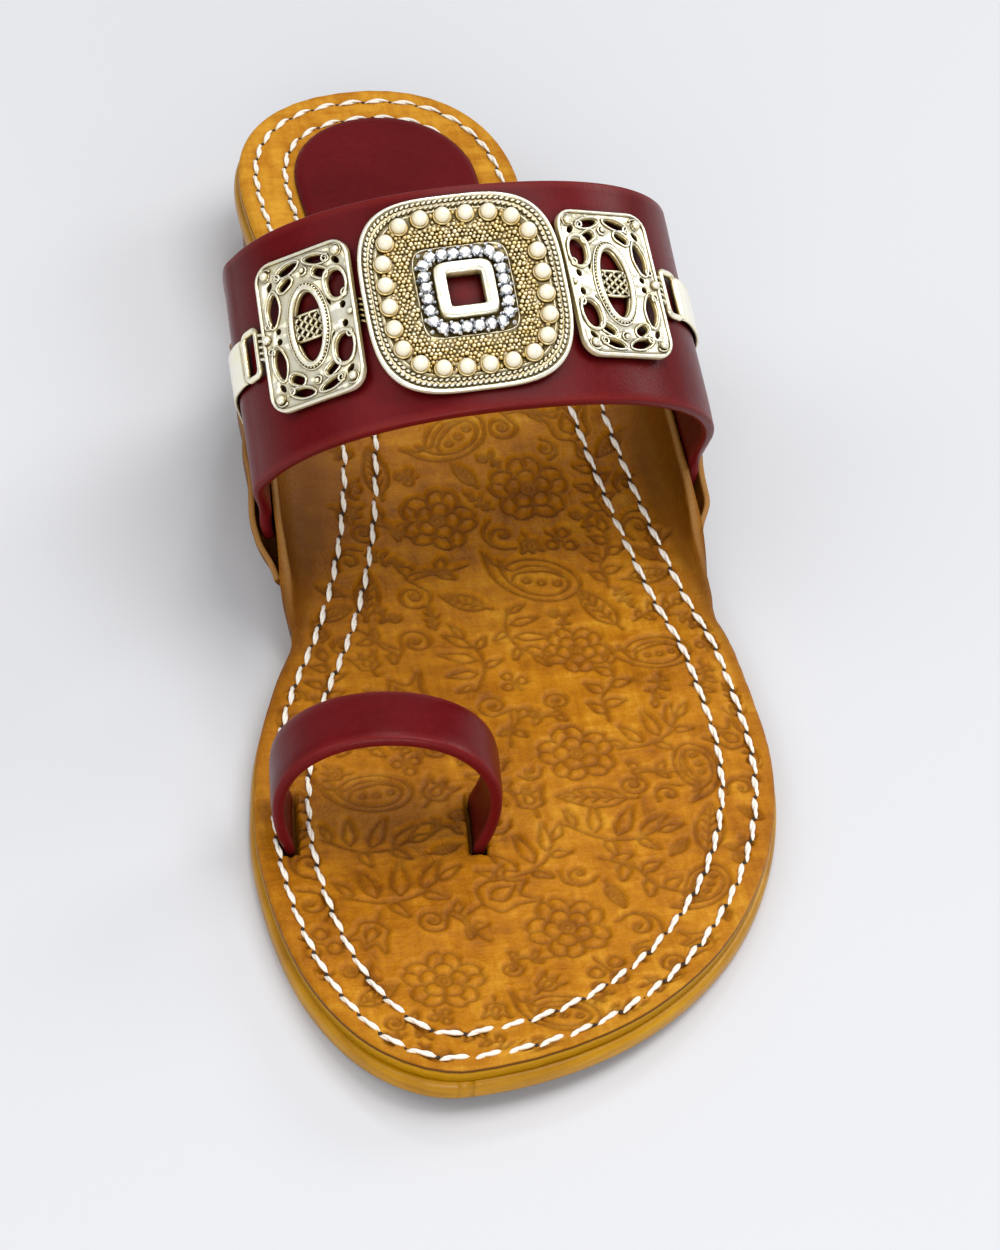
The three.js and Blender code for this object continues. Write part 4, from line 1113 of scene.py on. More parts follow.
# Painted shade under the toe loop and under the strap
painted_shade_under_loop = 0.5 * np.exp(-((x_plan + 24) / 13) ** 2 - ((y_plan + 193) / 9) ** 2)
painted_shade_under_strap = 0.12 * np.exp(-((y_plan + 108) / 20) ** 2)
burnish = np.clip(1.2 * side_dark + painted_shade_under_strap + painted_shade_under_loop + 0.22 * np.exp(-(rim / 1.6) ** 2), 0, 1)
lower_count = len(lower_points)
# Painted shade in the slots; the tooled lines and the stitch rows are darker too
spread(footbed, "press", all_points, np.concatenate([np.clip(line + 1.4 * slots + 0.25 * seam_line, 0, 1.4),
                                                     np.zeros(lower_count)]))
spread(footbed, "burnish", all_points, np.concatenate([burnish, np.full(lower_count, 0.75)]))
ear_edge = smooth((0.55 - rim) / 0.4) * upright
pale = smooth((y_plan + 100) / 45) + 0.5 * smooth((-212 - y_plan) / 30)
low_rise = np.where(low_side < 0, column(ears[-1], low_at, 2), column(ears[1], low_at, 2))
# The lower side: a painted shade line near its top, mustard below
waxed = 1 - smooth(low_rise / 0.15)
spread(footbed, "waxed", all_points, np.concatenate([np.zeros(len(upper_points)), waxed]))
spread(footbed, "pale", all_points, np.concatenate([pale, np.zeros(lower_count)]))
spread(footbed, "edge", all_points, np.concatenate([ear_edge, np.zeros(lower_count)]))
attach(footbed, "root")
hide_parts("footbed")
print("Footbed:", sum(len(face.vertices) - 2 for face in footbed.data.polygons), "triangles")

# %% [markdown]
# ## Ear walls
# Outside each strap end lies a second wall of the same leather. It could be a copy of the ear moved
# outwards, but it has to clear the strap's leg in the middle and close at both ends. So it is worked out
# from the ear, one gap further out. A slow wave in its cut edge keeps it from looking machined.

# %% Ear walls
wall_gap = leg_clearance + strap_thickness + pocket_clearance
wall_ends = {-1: (0.472, 0.472, 0.500, 0.712, 0.752, 0.765), 1: (0.485, 0.485, 0.515, 0.712, 0.742, 0.745)}


def wall_start(side, at):
    reach = np.abs(sole_edge(side, at)) + seat_gap
    low, high = np.zeros_like(at), np.ones_like(at)
    for _ in range(24):
        middle = (low + high) / 2
        depth = leather_depth(side, at, middle) + seat_gap + wall_thickness
        inside = np.abs(below(side, at, middle, depth)[..., 0]) < reach
        low, high = np.where(inside, middle, low), np.where(inside, high, middle)
    return low


def ear_wall(name, side, node):
    front, opens, opened, closes, shut, back = wall_ends[side]
    at = np.linspace(front + 0.001, back - 0.001, 90)
    gap = smooth((at - opens) / (opened - opens)) * smooth((shut - at) / (shut - closes))
    gap = seat_gap + (wall_gap - seat_gap) * gap
    share = spaced(1.0, 0.035, 26, 4)[4:]
    share = (share - share[0]) / (share[-1] - share[0])
    begin = wall_start(side, at)[:, None]
    top = 0.74 + 0.26 * smooth((at - front - 0.015) / 0.06)
    s = begin + (top[:, None] - begin) * share[None]
    grid_at = np.broadcast_to(at[:, None], s.shape)
    depth = leather_depth(side, grid_at, s) + seat_gap + (gap[:, None] - seat_gap) * smooth(share / 0.6)[None]
    ripple = 0.22 * np.sin(grid_at * 150) * smooth((share[None] - 0.6) / 0.4)
    inner = below(side, grid_at, s, depth + ripple)
    outer = below(side, grid_at, s, depth + wall_thickness + ripple)
    lift = 0.35 * np.sin(grid_at * 115 + 1) * smooth((share[None] - 0.5) / 0.5)
    inner[..., 2] += lift
    outer[..., 2] += lift
    half = (outer - inner) / 2
    length = np.linalg.norm(inner[:, -1:] - inner, axis=-1)
    keep = round_share(length, 0.55)[..., None]
    middle = (inner + outer) / 2
    grid = middle + half * keep
    other = middle - half * keep
    pts = np.concatenate([grid.reshape(-1, 3), other.reshape(-1, 3)])
    piece = make_piece(name, pts, sheet_faces(*grid.shape[:2]), tan)
    rim_pale = smooth((0.5 - length) / 0.35).ravel()
    spread(piece, "edge", pts, np.concatenate([rim_pale, rim_pale]))
    spread(piece, "burnish", pts, np.full(len(pts), 1.1))
    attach(piece, "root")
    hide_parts(node)
    return piece


walls = [ear_wall("ear_wall_big_toe_side", -1, "ear_wall_medial"),
         ear_wall("ear_wall_little_toe_side", 1, "ear_wall_lateral")]
print("Ear walls:", [len(w.data.polygons) for w in walls], "faces")

# %% [markdown]
# ## Heel pad
# A thin maroon pad is glued on the seat inside the inner row of stitches. It follows the sole's own edge
# table at a margin, has a round back, and swells by a quarter of a millimetre, as padded leather does.

# %% Heel pad
pad_thickness, pad_margin, pad_lateral_margin, pad_front = 0.8, 11.6, 9.0, 86.0
pad_rows, pad_columns = 70, 41
pad_rounds = medial_edge[-1][0]
pad_back_at = 1 - pad_margin / sole_length
pad_at = (1 - pad_front / sole_length) + (pad_back_at - 1 + pad_front / sole_length) * np.sin(
    np.linspace(0, math.pi / 2, pad_rows))
straight = np.minimum(pad_at, pad_rounds)
pad_left = sole_edge(-1, straight) + pad_margin
pad_right = sole_edge(1, straight) - pad_lateral_margin
roundness = (1 - np.clip((pad_at - pad_rounds) / (pad_back_at - pad_rounds), 0, 0.9996) ** 2.1) ** (1 / 2.1)
centre = (pad_left + pad_right) / 2 + (1 - roundness) * 0.5
half = (pad_right - pad_left) / 2 * roundness
across = np.linspace(-1, 1, pad_columns)
pad_top = footbed_top(pad_at) + seat_gap + pad_thickness
pad_points = np.stack([centre[:, None] + half[:, None] * across[None],
                       np.broadcast_to(along(pad_at)[:, None], (pad_rows, pad_columns)),
                       np.broadcast_to(pad_top[:, None], (pad_rows, pad_columns))], -1)
pad_edge_field = LineField(2.0)
pad_edge_field.draw(np.concatenate([pad_points[::-1, 0, :2], pad_points[0, :, :2], pad_points[:, -1, :2]]))
pad_rim = pad_edge_field.at(pad_points[..., 0], pad_points[..., 1])
pad_rim[-1] = 0
dome = 0.25 * smooth(pad_rim / 2)
pad_points[..., 2] += dome - 0.55 * (1 - round_share(pad_rim, 0.6))
pad_floor = pad_points.copy()
pad_floor[..., 2] = footbed_top(pad_at)[:, None] + seat_gap * 0.3
both = np.concatenate([pad_points.reshape(-1, 3), pad_floor.reshape(-1, 3)])
pad = make_piece("heel_pad_glued", both, sheet_faces(pad_rows, pad_columns), maroon)
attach(pad, "root")
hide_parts("heel_pad")
print("Heel pad:", len(pad.data.polygons), "faces")

# %% [markdown]
# ## Instep strap
# The strap is one wide band. Its outer face follows lines across the instep, one for each place along the
# width: a leg down into the ear, an arch, and a leg again. Each line is a smooth curve through points.

# %% Arch of the strap
strap_width, strap_span, strap_height = 42.3, 84.9, 37.5
strap_from_heel, strap_above, strap_offset, strap_leg_depth = 128.9, 16.4, 3.8, 0.28
strap_slope, strap_yaw, strap_roll = math.radians(32.9), math.radians(4.4), math.radians(-2.1)
strap_narrowing, strap_lowering, strap_squareness = 0.03, 0.08, 2.23


def unit(vector):
    return vector / np.linalg.norm(vector)


strap_across = np.array([math.cos(strap_yaw), math.sin(strap_yaw), 0])
strap_back = np.array([-math.sin(strap_yaw) * math.cos(strap_slope),
                       math.cos(strap_yaw) * math.cos(strap_slope), math.sin(strap_slope)])
strap_level = np.cross(strap_across, strap_back)
strap_right = strap_across * math.cos(strap_roll) + strap_level * math.sin(strap_roll)
strap_up = np.cross(strap_right, strap_back)
strap_foot = np.array([strap_offset, -strap_from_heel,
                       float(footbed_top(1 - strap_from_heel / sole_length)) + strap_above])


def arch_point(angle, across):
    share = across / strap_width
    half = strap_span / 2 * (1 - strap_narrowing * share)
    height = strap_height * (1 - strap_lowering * share)
    power = 2 / strap_squareness
    x = -half * np.sign(np.cos(angle)) * np.abs(np.cos(angle)) ** power
    z = height * np.abs(np.sin(angle)) ** power
    aside, above = np.asarray(x)[..., None], np.asarray(z)[..., None]
    return strap_foot + strap_back * across + strap_right * aside + strap_up * above

# %% [markdown]
# Each leg goes down between the ear and the outer wall. Where it enters is found by halving a range until
# the leg meets the cut edge, and a Catmull-Rom curve joins legs and arch without a kink.

# %% Legs of the strap
def leg_entry(side, across):
    """Place along the shoe where the strap's leg meets the height of the ear's cut edge."""
    base = arch_point(np.array(0.0 if side < 0 else math.pi), across)
    low, high = 0.0, 60.0
    for _ in range(30):
        down = (low + high) / 2
        at = 1 + (base[1] - strap_up[1] * down) / sole_length
        if base[2] - strap_up[2] * down > ear_point(side, at, 1.0)[0][2]:
            low = down
        else:
            high = down
    return 1 + (base[1] - strap_up[1] * low) / sole_length


def rounded_line(points, shares):
    """Centripetal Catmull-Rom curve through points, read at shares of its parameter."""
    p = np.vstack([2 * points[0] - points[1], points, 2 * points[-1] - points[-2]])
    place = np.clip(shares, 0, 1) * (len(points) - 1)
    i = np.minimum(place.astype(int), len(points) - 2)
    t = (place - i)[:, None]
    a, b, c, d = p[i], p[i + 1], p[i + 2], p[i + 3]
    ab, bc, cd = (np.linalg.norm(v, axis=1, keepdims=True) ** 0.5 for v in (b - a, c - b, d - c))
    leave = ((b - a) / ab - (c - a) / (ab + bc) + (c - b) / bc) * bc
    reach = ((c - b) / bc - (d - b) / (bc + cd) + (d - c) / cd) * bc
    return b + leave * t + (3 * (c - b) - 2 * leave - reach) * t**2 + (2 * (b - c) + leave + reach) * t**3


def strap_line(across, shares):
    legs = {}
    for side in (-1, 1):
        at = leg_entry(side, across)
        s = np.array([1 - strap_leg_depth, 1 - strap_leg_depth / 2, 1.0])
        ats = np.full(3, at)
        legs[side] = below(side, ats, s, leather_depth(side, ats, s) + leg_clearance + strap_thickness)
    arch = arch_point(np.pi * (0.02 + 0.96 * np.linspace(0, 1, 23)), across)
    return rounded_line(np.vstack([legs[-1], arch, legs[1][::-1]]), shares)


# %% [markdown]
# With its lines known, the strap is a shell: a grid of points and a thickness. A very slight ease in the
# leather breaks the perfect highlight.

# %% Instep strap
strap_ats = spaced(strap_width, 0.55, 30, 5)
strap_shares = np.linspace(0, 1, 260)
strap_face = np.stack([strap_line(across, strap_shares) for across in strap_ats], 1)
strap_inwards = grid_normals(strap_face)
to_edge = np.minimum(strap_ats, strap_width - strap_ats)
ease = 0.12 * np.sin(strap_shares[:, None] * 21 + strap_ats[None] * 0.12) * smooth(to_edge / 6)[None]
strap_face = strap_face + strap_inwards * ease[..., None]
full_length = np.ones((len(strap_shares), 1))
strap_round = round_share(to_edge, 0.55)[None] * full_length
# Painted highlight along both cut edges of the strap
strap_edge_highlight = np.exp(-((to_edge - 0.5) / 0.4) ** 2)[None] * full_length
strap = shell("strap_band", strap_face, strap_inwards, strap_thickness, strap_round, maroon, edge=strap_edge_highlight)
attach(strap, "root")
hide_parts("instep_strap")
print("Strap:", len(strap.data.polygons), "faces")

# %% [markdown]
# ## Toe loop
# A narrow band of the same leather passes down through two slots and is held under the footbed. It could
# be bent with a curve modifier, but its legs tuck in and its arch is a little square, so its face is a
# formula too.

# %% Toe loop
def loop_point(share, across):
    share, across = np.broadcast_arrays(share, across)
    half = loop_span / 2
    crown = loop_height - loop_belly - loop_drop * across / loop_width
    leg_depth = loop_belly + footbed_thickness - seat_gap
    side = np.where(share < 0.5, -1, 1)
    down = 1 - np.minimum(share, 1 - share) / loop_leg_share
    tuck = np.minimum(loop_tuck * (down * leg_depth / loop_belly) ** 2, loop_tuck)
    leg = down > 0
    angle = np.pi * np.clip((share - loop_leg_share) / (1 - 2 * loop_leg_share), 0, 1)
    power = 2 / loop_squareness
    x = np.where(leg, side * (half - tuck), -half * np.sign(np.cos(angle)) * np.abs(np.cos(angle)) ** power)
    z = np.where(leg, -down * leg_depth, crown * np.abs(np.sin(angle)) ** power)
    return loop_place(x, across - loop_width / 2, loop_base + loop_belly + z)


loop_ats = spaced(loop_width, 0.75, 12, 5)
bend = np.linspace(0, 1, 61)
loop_shares = np.concatenate([np.linspace(0, loop_leg_share, 14)[:-1],
                              loop_leg_share + (1 - 2 * loop_leg_share) * bend,
                              1 - np.linspace(loop_leg_share, 0, 14)[1:]])
loop_face = loop_point(loop_shares[:, None], loop_ats[None])
loop_inwards = grid_normals(loop_face)
loop_edge = np.minimum(loop_ats, loop_width - loop_ats)
loop_face = loop_face + loop_inwards * (0.25 * (1 - smooth(loop_edge / 3)))[None, :, None]
loop_round = round_share(loop_edge, 0.75)[None] * np.ones((len(loop_shares), 1))
# Painted highlight along both cut edges of the loop
loop_edge_highlight = np.exp(-((loop_edge - 0.5) / 0.45) ** 2)[None] * np.ones((len(loop_shares), 1))
loop = shell("toe_loop_band", loop_face, loop_inwards, loop_thickness, loop_round, maroon, edge=loop_edge_highlight)
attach(loop, "root")
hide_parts("toe_loop")
print("Toe loop:", len(loop.data.polygons), "faces")

# %% [markdown]
# ## Repeated things
# Stitches, pearls, stones and beads are each one small shape put on many points. One Geometry Nodes tree
# does it for all: the points carry a direction along, a direction up and a size as attributes.

# %% Copies on points
def copies_tree():
    tree = bpy.data.node_groups.new("copies_on_points", "GeometryNodeTree")
    inputs = (("Points", "Geometry"), ("Shape", "Object"), ("Size", "Float"), ("Finish", "Material"))
    for name, kind in inputs:
        tree.interface.new_socket(name, in_out="INPUT", socket_type="NodeSocket" + kind)
    tree.interface.new_socket("Geometry", in_out="OUTPUT", socket_type="NodeSocketGeometry")
    link = tree.links.new
    given = tree.nodes.new("NodeGroupInput")
    result = tree.nodes.new("NodeGroupOutput")
    shape = tree.nodes.new("GeometryNodeObjectInfo")
    link(given.outputs["Shape"], shape.inputs["Object"])
    read = {}
    for name in ("up", "along", "size"):
        read[name] = tree.nodes.new("GeometryNodeInputNamedAttribute")
        read[name].data_type = "FLOAT_VECTOR"
        read[name].inputs["Name"].default_value = name
    stand = tree.nodes.new("FunctionNodeAlignRotationToVector")
    stand.axis = "Z"
    link(read["up"].outputs[0], stand.inputs["Vector"])
    turn = tree.nodes.new("FunctionNodeAlignRotationToVector")
    turn.axis, turn.pivot_axis = "X", "Z"
    link(stand.outputs[0], turn.inputs["Rotation"])
    link(read["along"].outputs[0], turn.inputs["Vector"])
    grow = tree.nodes.new("ShaderNodeVectorMath")
    grow.operation = "SCALE"
    link(read["size"].outputs[0], grow.inputs[0])
    link(given.outputs["Size"], grow.inputs["Scale"])
    put = tree.nodes.new("GeometryNodeInstanceOnPoints")
    link(given.outputs["Points"], put.inputs["Points"])
    link(shape.outputs["Geometry"], put.inputs["Instance"])
    link(turn.outputs[0], put.inputs["Rotation"])
    link(grow.outputs[0], put.inputs["Scale"])
    real = tree.nodes.new("GeometryNodeRealizeInstances")
    link(put.outputs[0], real.inputs[0])
    coat = tree.nodes.new("GeometryNodeSetMaterial")
    link(real.outputs[0], coat.inputs["Geometry"])
    link(given.outputs["Finish"], coat.inputs["Material"])
    link(coat.outputs[0], result.inputs[0])
    return tree


copies_on_points = copies_tree()

# %% [markdown]
# `copies` makes a mesh of bare points with the three attributes, gives it the tree as a modifier, and
# takes the evaluated result as a plain mesh. The helpers are then removed, so only the finished piece
# stays in the scene.

# %% Use the tree
def plain_mesh(name, points, faces, smooth_faces=True):
    mesh = bpy.data.meshes.new(name)
    mesh.from_pydata(np.asarray(points, float).tolist(), [], [list(face) for face in faces])
    mesh.polygons.foreach_set("use_smooth", [smooth_faces] * len(mesh.polygons))
    return mesh


def copies(name, shape, places, alongs, ups, sizes, material, size=0.001):
    """Puts a shape, modelled at size 1, on each place. Sizes are in millimetres."""
    places = np.asarray(places, float)
    count = len(places)
    mesh = plain_mesh(name, to_row(places), [])
    sizes = np.asarray(sizes, float)
    sizes = np.broadcast_to(sizes[:, None] if sizes.ndim == 1 and len(sizes) == count else sizes, (count, 3))
    for key, values in (("along", alongs), ("up", ups), ("size", sizes)):
        values = np.broadcast_to(np.asarray(values, float), (count, 3)).astype(np.float32)
        mesh.attributes.new(key, "FLOAT_VECTOR", "POINT").data.foreach_set("vector", values.ravel())
    points = bpy.data.objects.new(name + "_points", mesh)
    template = bpy.data.objects.new(name + "_shape", shape)
    scene = bpy.context.scene.collection
    scene.objects.link(points)
    scene.objects.link(template)
    modifier = points.modifiers.new("copies", "NODES")
    modifier.node_group = copies_on_points
    wanted = {"Shape": template, "Size": size, "Finish": material}
    for item in copies_on_points.interface.items_tree:
        if item.name in wanted:
            modifier[item.identifier] = wanted[item.name]
    points.update_tag()
    graph = bpy.context.evaluated_depsgraph_get()
    made = bpy.data.meshes.new_from_object(points.evaluated_get(graph))
    made.name = name
    bpy.data.objects.remove(points)
    bpy.data.objects.remove(template)
    piece = bpy.data.objects.new(name, made)
    scene.objects.link(piece)
    return piece

# %% [markdown]
# Pearls, beads, grains and needle holes all start from one ball of few faces. It may be cut off below,
# where it sinks into its ground.

# %% A small ball
def ball(segments=7, rings=5, lowest=-1.0):
    """A ball of radius 1, closed at both poles."""
    heights = np.linspace(math.pi / 2, math.asin(lowest), rings + 1)
    points = [(0, 0, 1)]
    for a in heights[1:-1]:
        points += [(math.cos(a) * math.cos(b), math.cos(a) * math.sin(b), math.sin(a))
                   for b in np.arange(segments) * 2 * math.pi / segments]
    points.append((0, 0, lowest))
    faces = [[0, 1 + j, 1 + (j + 1) % segments] for j in range(segments)]
    for i in range(rings - 2):
        a = 1 + i * segments
        faces += [[a + j, a + segments + j, a + segments + (j + 1) % segments, a + (j + 1) % segments]
                  for j in range(segments)]
    a, last = 1 + (rings - 2) * segments, len(points) - 1
    faces += [[a + j, last, a + (j + 1) % segments] for j in range(segments)]
    return points, faces


# %% [markdown]
# ## Stitches
# Two rows of thick waxed thread hold the layers. Each stitch is two plies twisted together, and lies a
# little across the line of the seam. Between two stitches the awl has left a hole, drawn as a dark disc of
# painted shade.

# %% A stitch
def twisted_stitch(rings=7, sides=5):
    points, faces = [], []
    for phase in (0, math.pi):
        first = len(points)
        for i in range(rings):
            t = i / (rings - 1)
            turn = phase + 1.5 * math.pi * t
            fat = 0.30 + 0.70 * math.sin(math.pi * t) ** 0.6
            dip = -0.55 * (2 * t - 1) ** 4
            centre = (t - 0.5, 0.044 * math.cos(turn) * fat, 0.13 * dip + 0.034 * math.sin(turn) * fat)
            for j in range(sides):
                b = 2 * math.pi * j / sides
                y = centre[1] + 0.072 * fat * math.cos(b)
                points.append((centre[0], y, centre[2] + 0.075 * fat * math.sin(b)))
        for i in range(rings - 1):
            a = first + i * sides
            for j in range(sides):
                k = (j + 1) % sides
                faces.append([a + j, a + k, a + sides + k, a + sides + j])
        faces.append([first + j for j in range(sides - 1, -1, -1)])
        faces.append([first + (rings - 1) * sides + j for j in range(sides)])
    return plain_mesh("stitch", points, faces)

# %% [markdown]
# The rows follow the seam lines. The count is rounded so that the last stitch meets the first, and each
# stitch lies on the footbed and leans with its slope.

# %% Rows of stitches
stitch_pitch, stitch_length, stitch_slant = 5.45, 5.0, math.radians(8)
for name, seam in seams.items():
    ring = np.vstack([seam, seam[:1]])
    steps = arc_of(ring)
    count = round(steps[-1] / stitch_pitch)
    for kind, shift in (("stitches", 0.5), ("holes", 0.0)):
        arc = (np.arange(count) + shift) * steps[-1] / count
        x, y = np.interp(arc, steps, ring[:, 0]), np.interp(arc, steps, ring[:, 1])
        y = y * (1 - 2 * footbed_inset / sole_length) - footbed_inset
        ahead = np.stack([np.interp(arc + 0.5, steps, ring[:, k]) - np.interp(arc - 0.5, steps, ring[:, k])
                          for k in (0, 1)], -1)
        z = footbed_top(at_of(y))
        rise = (footbed_top(at_of(y + 1)) - footbed_top(at_of(y - 1))) / 2
        ahead = np.column_stack([ahead, ahead[:, 1] * rise])
        ahead /= np.linalg.norm(ahead, axis=1, keepdims=True)
        up = np.column_stack([0 * rise, -rise, 1 + 0 * rise])
        up /= np.linalg.norm(up, axis=1, keepdims=True)
        if kind == "stitches":
            aside = np.cross(up, ahead)
            ahead = ahead * math.cos(stitch_slant) + aside * math.sin(stitch_slant)
            places = np.column_stack([x, y, z + 0.16])
            size = [stitch_length] * 3
            piece = copies(f"thread_{name}_row", twisted_stitch(), places, ahead, up, size, cream)
        else:
            # A flat dark disc of painted shade in each needle hole
            dot = plain_mesh("needle_hole_shade", *ball(8, 4, -0.6))
            places = np.column_stack([x, y, z - 0.13])
            size = [0.46, 0.40, 0.12]
            piece = copies(f"needle_holes_{name}_row", dot, places, ahead, up, size, needle_shade)
        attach(piece, "root")
        print(piece.name, count)

# %% [markdown]
# ## Places on the strap
# Each metal piece lies flat on the strap. Its own frame has x along the arch, y to the rear and z outwards,
# with the origin on the leather. `laid` moves points from such a frame to the shoe.

# %% Frames on the strap
ornament_across, ornament_arc = 21.7, -7.5


def face_line(across):
    line = strap_line(across, np.linspace(0, 1, 1600))
    arc = arc_of(line)
    crown = arc[np.argmin(np.linalg.norm(line - arch_point(np.array(math.pi / 2), across), axis=1))]
    return line, arc, crown


def read_line(line, arc, place):
    return np.stack([np.interp(place, arc, line[:, k]) for k in range(3)], -1)


def face_frame(shift, across=ornament_across):
    spots = []
    for aside in (-1, 0, 1):
        line, arc, crown = face_line(across + aside)
        place = crown + ornament_arc + shift
        spots.append(read_line(line, arc, place))
        if aside == 0:
            right = unit(read_line(line, arc, place + 0.2) - read_line(line, arc, place - 0.2))
    normal = unit(np.cross(right, spots[2] - spots[0]))
    back = unit(np.cross(normal, right))
    return spots[1], np.array([right, back, normal])


def laid(face, points):
    return face[0] + np.asarray(points, float) @ face[1]

# %% [markdown]
# A cast plate is many small forms in one. `Parts` gathers them in the piece's own frame and lays them on
# the strap as one mesh. A cushion shape, even spacing along it and a loft between rings are the forms
# that return.

# %% Gather the solids of a piece
class Parts:
    """Gathers the solids of one piece in its own frame, then lays them on the strap as one mesh."""

    def __init__(self):
        self.points, self.faces, self.count = [], [], 0

    def add(self, points, faces):
        points = np.asarray(points, float)
        self.faces += [[self.count + k for k in face] for face in faces]
        self.points.append(points)
        self.count += len(points)

    def piece(self, name, face, material):
        return make_piece(name, laid(face, np.concatenate(self.points)), self.faces, material)


def squircle(half_width, half_length, squareness, height=0.0, count=288):
    a = np.arange(count) * 2 * math.pi / count
    across = np.abs(np.cos(a) / half_width) ** squareness
    r = (across + np.abs(np.sin(a) / half_length) ** squareness) ** (-1 / squareness)
    return np.column_stack([r * np.cos(a), r * np.sin(a), np.full(count, height)])


def even(ring, count, offset=0.0):
    """Even places along a closed line, with the direction along it."""
    closed = np.vstack([ring, ring[:1]])
    arc = arc_of(closed)
    place = (np.arange(count) + offset) % count / count * arc[-1]
    spots = read_line(closed, arc, place)
    ahead = read_line(closed, arc, (place + 0.1) % arc[-1]) - spots
    return spots, ahead


def length_of(ring):
    return np.linalg.norm(np.roll(ring, -1, 0) - ring, axis=1).sum()


def loft(rings):
    """Closed faces round a hole: each ring to the next, and the last to the first."""
    count, total = len(rings[0]), len(rings) * len(rings[0])
    a = np.arange(total).reshape(len(rings), count)
    b, c = np.roll(a, -1, 1), np.roll(a, -1, 0)
    return np.concatenate(rings), np.stack([a, b, np.roll(c, -1, 1), c], -1).reshape(-1, 4).tolist()

# %% [markdown]
# A wire is a ring of points carried along a path. A curve with a bevel would give one too, but this one
# may change its radius and is closed at its ends. `beads` sets small round things on a plate.

# %% Wires and beads
def tube(path, radius, sides=6, closed=True, up=(0, 0, 1.0)):
    path = np.asarray(path, float)
    if closed:
        ahead = np.roll(path, -1, 0) - np.roll(path, 1, 0)
    else:
        ahead = np.gradient(path, axis=0)
    ahead /= np.linalg.norm(ahead, axis=1, keepdims=True)
    aside = np.cross(np.asarray(up, float), ahead)
    aside /= np.maximum(np.linalg.norm(aside, axis=1, keepdims=True), 1e-6)
    above = np.cross(ahead, aside)
    radius = np.broadcast_to(np.asarray(radius, float), len(path))[:, None, None]
    b = (np.arange(sides) * 2 * math.pi / sides)[None, :, None]
    rings = path[:, None] + radius * (np.cos(b) * aside[:, None] + np.sin(b) * above[:, None])
    count = len(path)
    faces = []
    for i in range(count if closed else count - 1):
        a, c = i * sides, (i + 1) % count * sides
        faces += [[a + j, a + (j + 1) % sides, c + (j + 1) % sides, c + j] for j in range(sides)]
    if not closed:
        faces += [list(range(sides - 1, -1, -1)), [(count - 1) * sides + j for j in range(sides)]]
    return rings.reshape(-1, 3), faces


def beads(name, face, spots, radius, material, node, shape, along=None, flat=1.0, thin=1.0):
    """Small round things on a metal piece, each standing along the piece's z."""
    mesh = plain_mesh(name, *shape, smooth_faces=name.endswith("smooth"))
    radius = np.broadcast_to(np.asarray(radius, float), len(spots))
    along = face[1][0] if along is None else np.asarray(along) @ face[1]
    sizes = np.stack([radius, radius * thin, radius * flat], -1)
    piece = copies(name, mesh, laid(face, spots), along, face[1][2], sizes, material)
    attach(piece, "root")
    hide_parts(node)
    return piece


# %% [markdown]
# ## Medallion
# The medallion is a cushion-shaped plate with a smooth lip and a square frame round a window. It could be
# cut from a block with booleans. A loft is cleaner: one list of insets and heights gives the outer rings,
# a second the frame, and the last ring joins the first, so the window is a true hole.

# %% Medallion plate
medallion_at = face_frame(0)
wide, tall = 17.8, 18.3
section = [(0.3, 0.3), (0.06, 0.45), (0.0, 0.8), (0.04, 1.3), (0.18, 1.5), (0.4, 1.56), (0.62, 1.5),
           (0.7, 1.4), (2.72, 1.42), (2.85, 1.54), (3.05, 1.55), (3.2, 1.36)]
rings = [squircle(wide - inset, tall - inset, 3.4, height) for inset, height in section]
inner = [(8.55, 7, 1.36), (8.45, 7, 1.7), (8.3, 7, 1.72), (8.2, 7, 1.3), (5.45, 9, 1.3), (5.3, 9, 1.5),
         (5.25, 5.5, 2.5), (5.15, 5.5, 2.72), (4.95, 5.5, 2.84), (4.5, 6, 2.88), (3.55, 10, 2.86),
         (3.2, 12, 2.74), (3.1, 12, 2.5), (3.1, 12, 0.45), (3.25, 12, 0.3)]
rings += [squircle(half, half, squareness, height) for half, squareness, height in inner]
parts = Parts()
parts.add(*loft(rings))
medallion = parts.piece("medallion_plate", medallion_at, gold)
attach(medallion, "root")
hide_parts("medallion")

# %% [markdown]
# Twenty-four pearls stand in small cups, evenly spaced along a cushion line. Outside them run two rows of
# beads that lean across the line, which read as a twisted rope.

# %% Pearls and milled rows
pearl_count = 24
pearl_spots, _ = even(squircle(wide - 4.1, tall - 4.1, 3.6, 2.47, 1440), pearl_count, 0.4)
beads("medallion_pearls_smooth", medallion_at, pearl_spots - [0, 0, 0.1], 1.38, pearl, "medallion",
      ball(24, 14))
cup_turn = np.arange(20) * math.pi / 10
cup_path = np.column_stack([np.cos(cup_turn), np.sin(cup_turn), np.zeros(20)])
beads("medallion_cups_smooth", medallion_at, pearl_spots - [0, 0, 0.72], 1.42, warm_gold, "medallion",
      tube(cup_path, 0.2, 6))
milled, rope = [], []
for inset, height in ((1.2, 1.5), (2.15, 1.5)):
    row = squircle(wide - inset, tall - inset, 3.4, height, 1440)
    spots, ahead = even(row, round(length_of(row) / 0.98))
    milled.append(spots)
    rope.append(ahead + np.cross([0, 0, 1.0], ahead) * 0.45)
beads("medallion_rope_smooth", medallion_at, np.concatenate(milled), 0.56, gold, "medallion",
      ball(7, 5, -0.4), np.concatenate(rope), 0.75, 0.62)
print("Pearls:", len(pearl_spots))

# %% [markdown]
# The ground between the pearls and the frame is granulated: hundreds of tiny balls, nearly in a honeycomb
# but each a little off its place and of its own size. The generator has a fixed seed, so each run is the
# same.

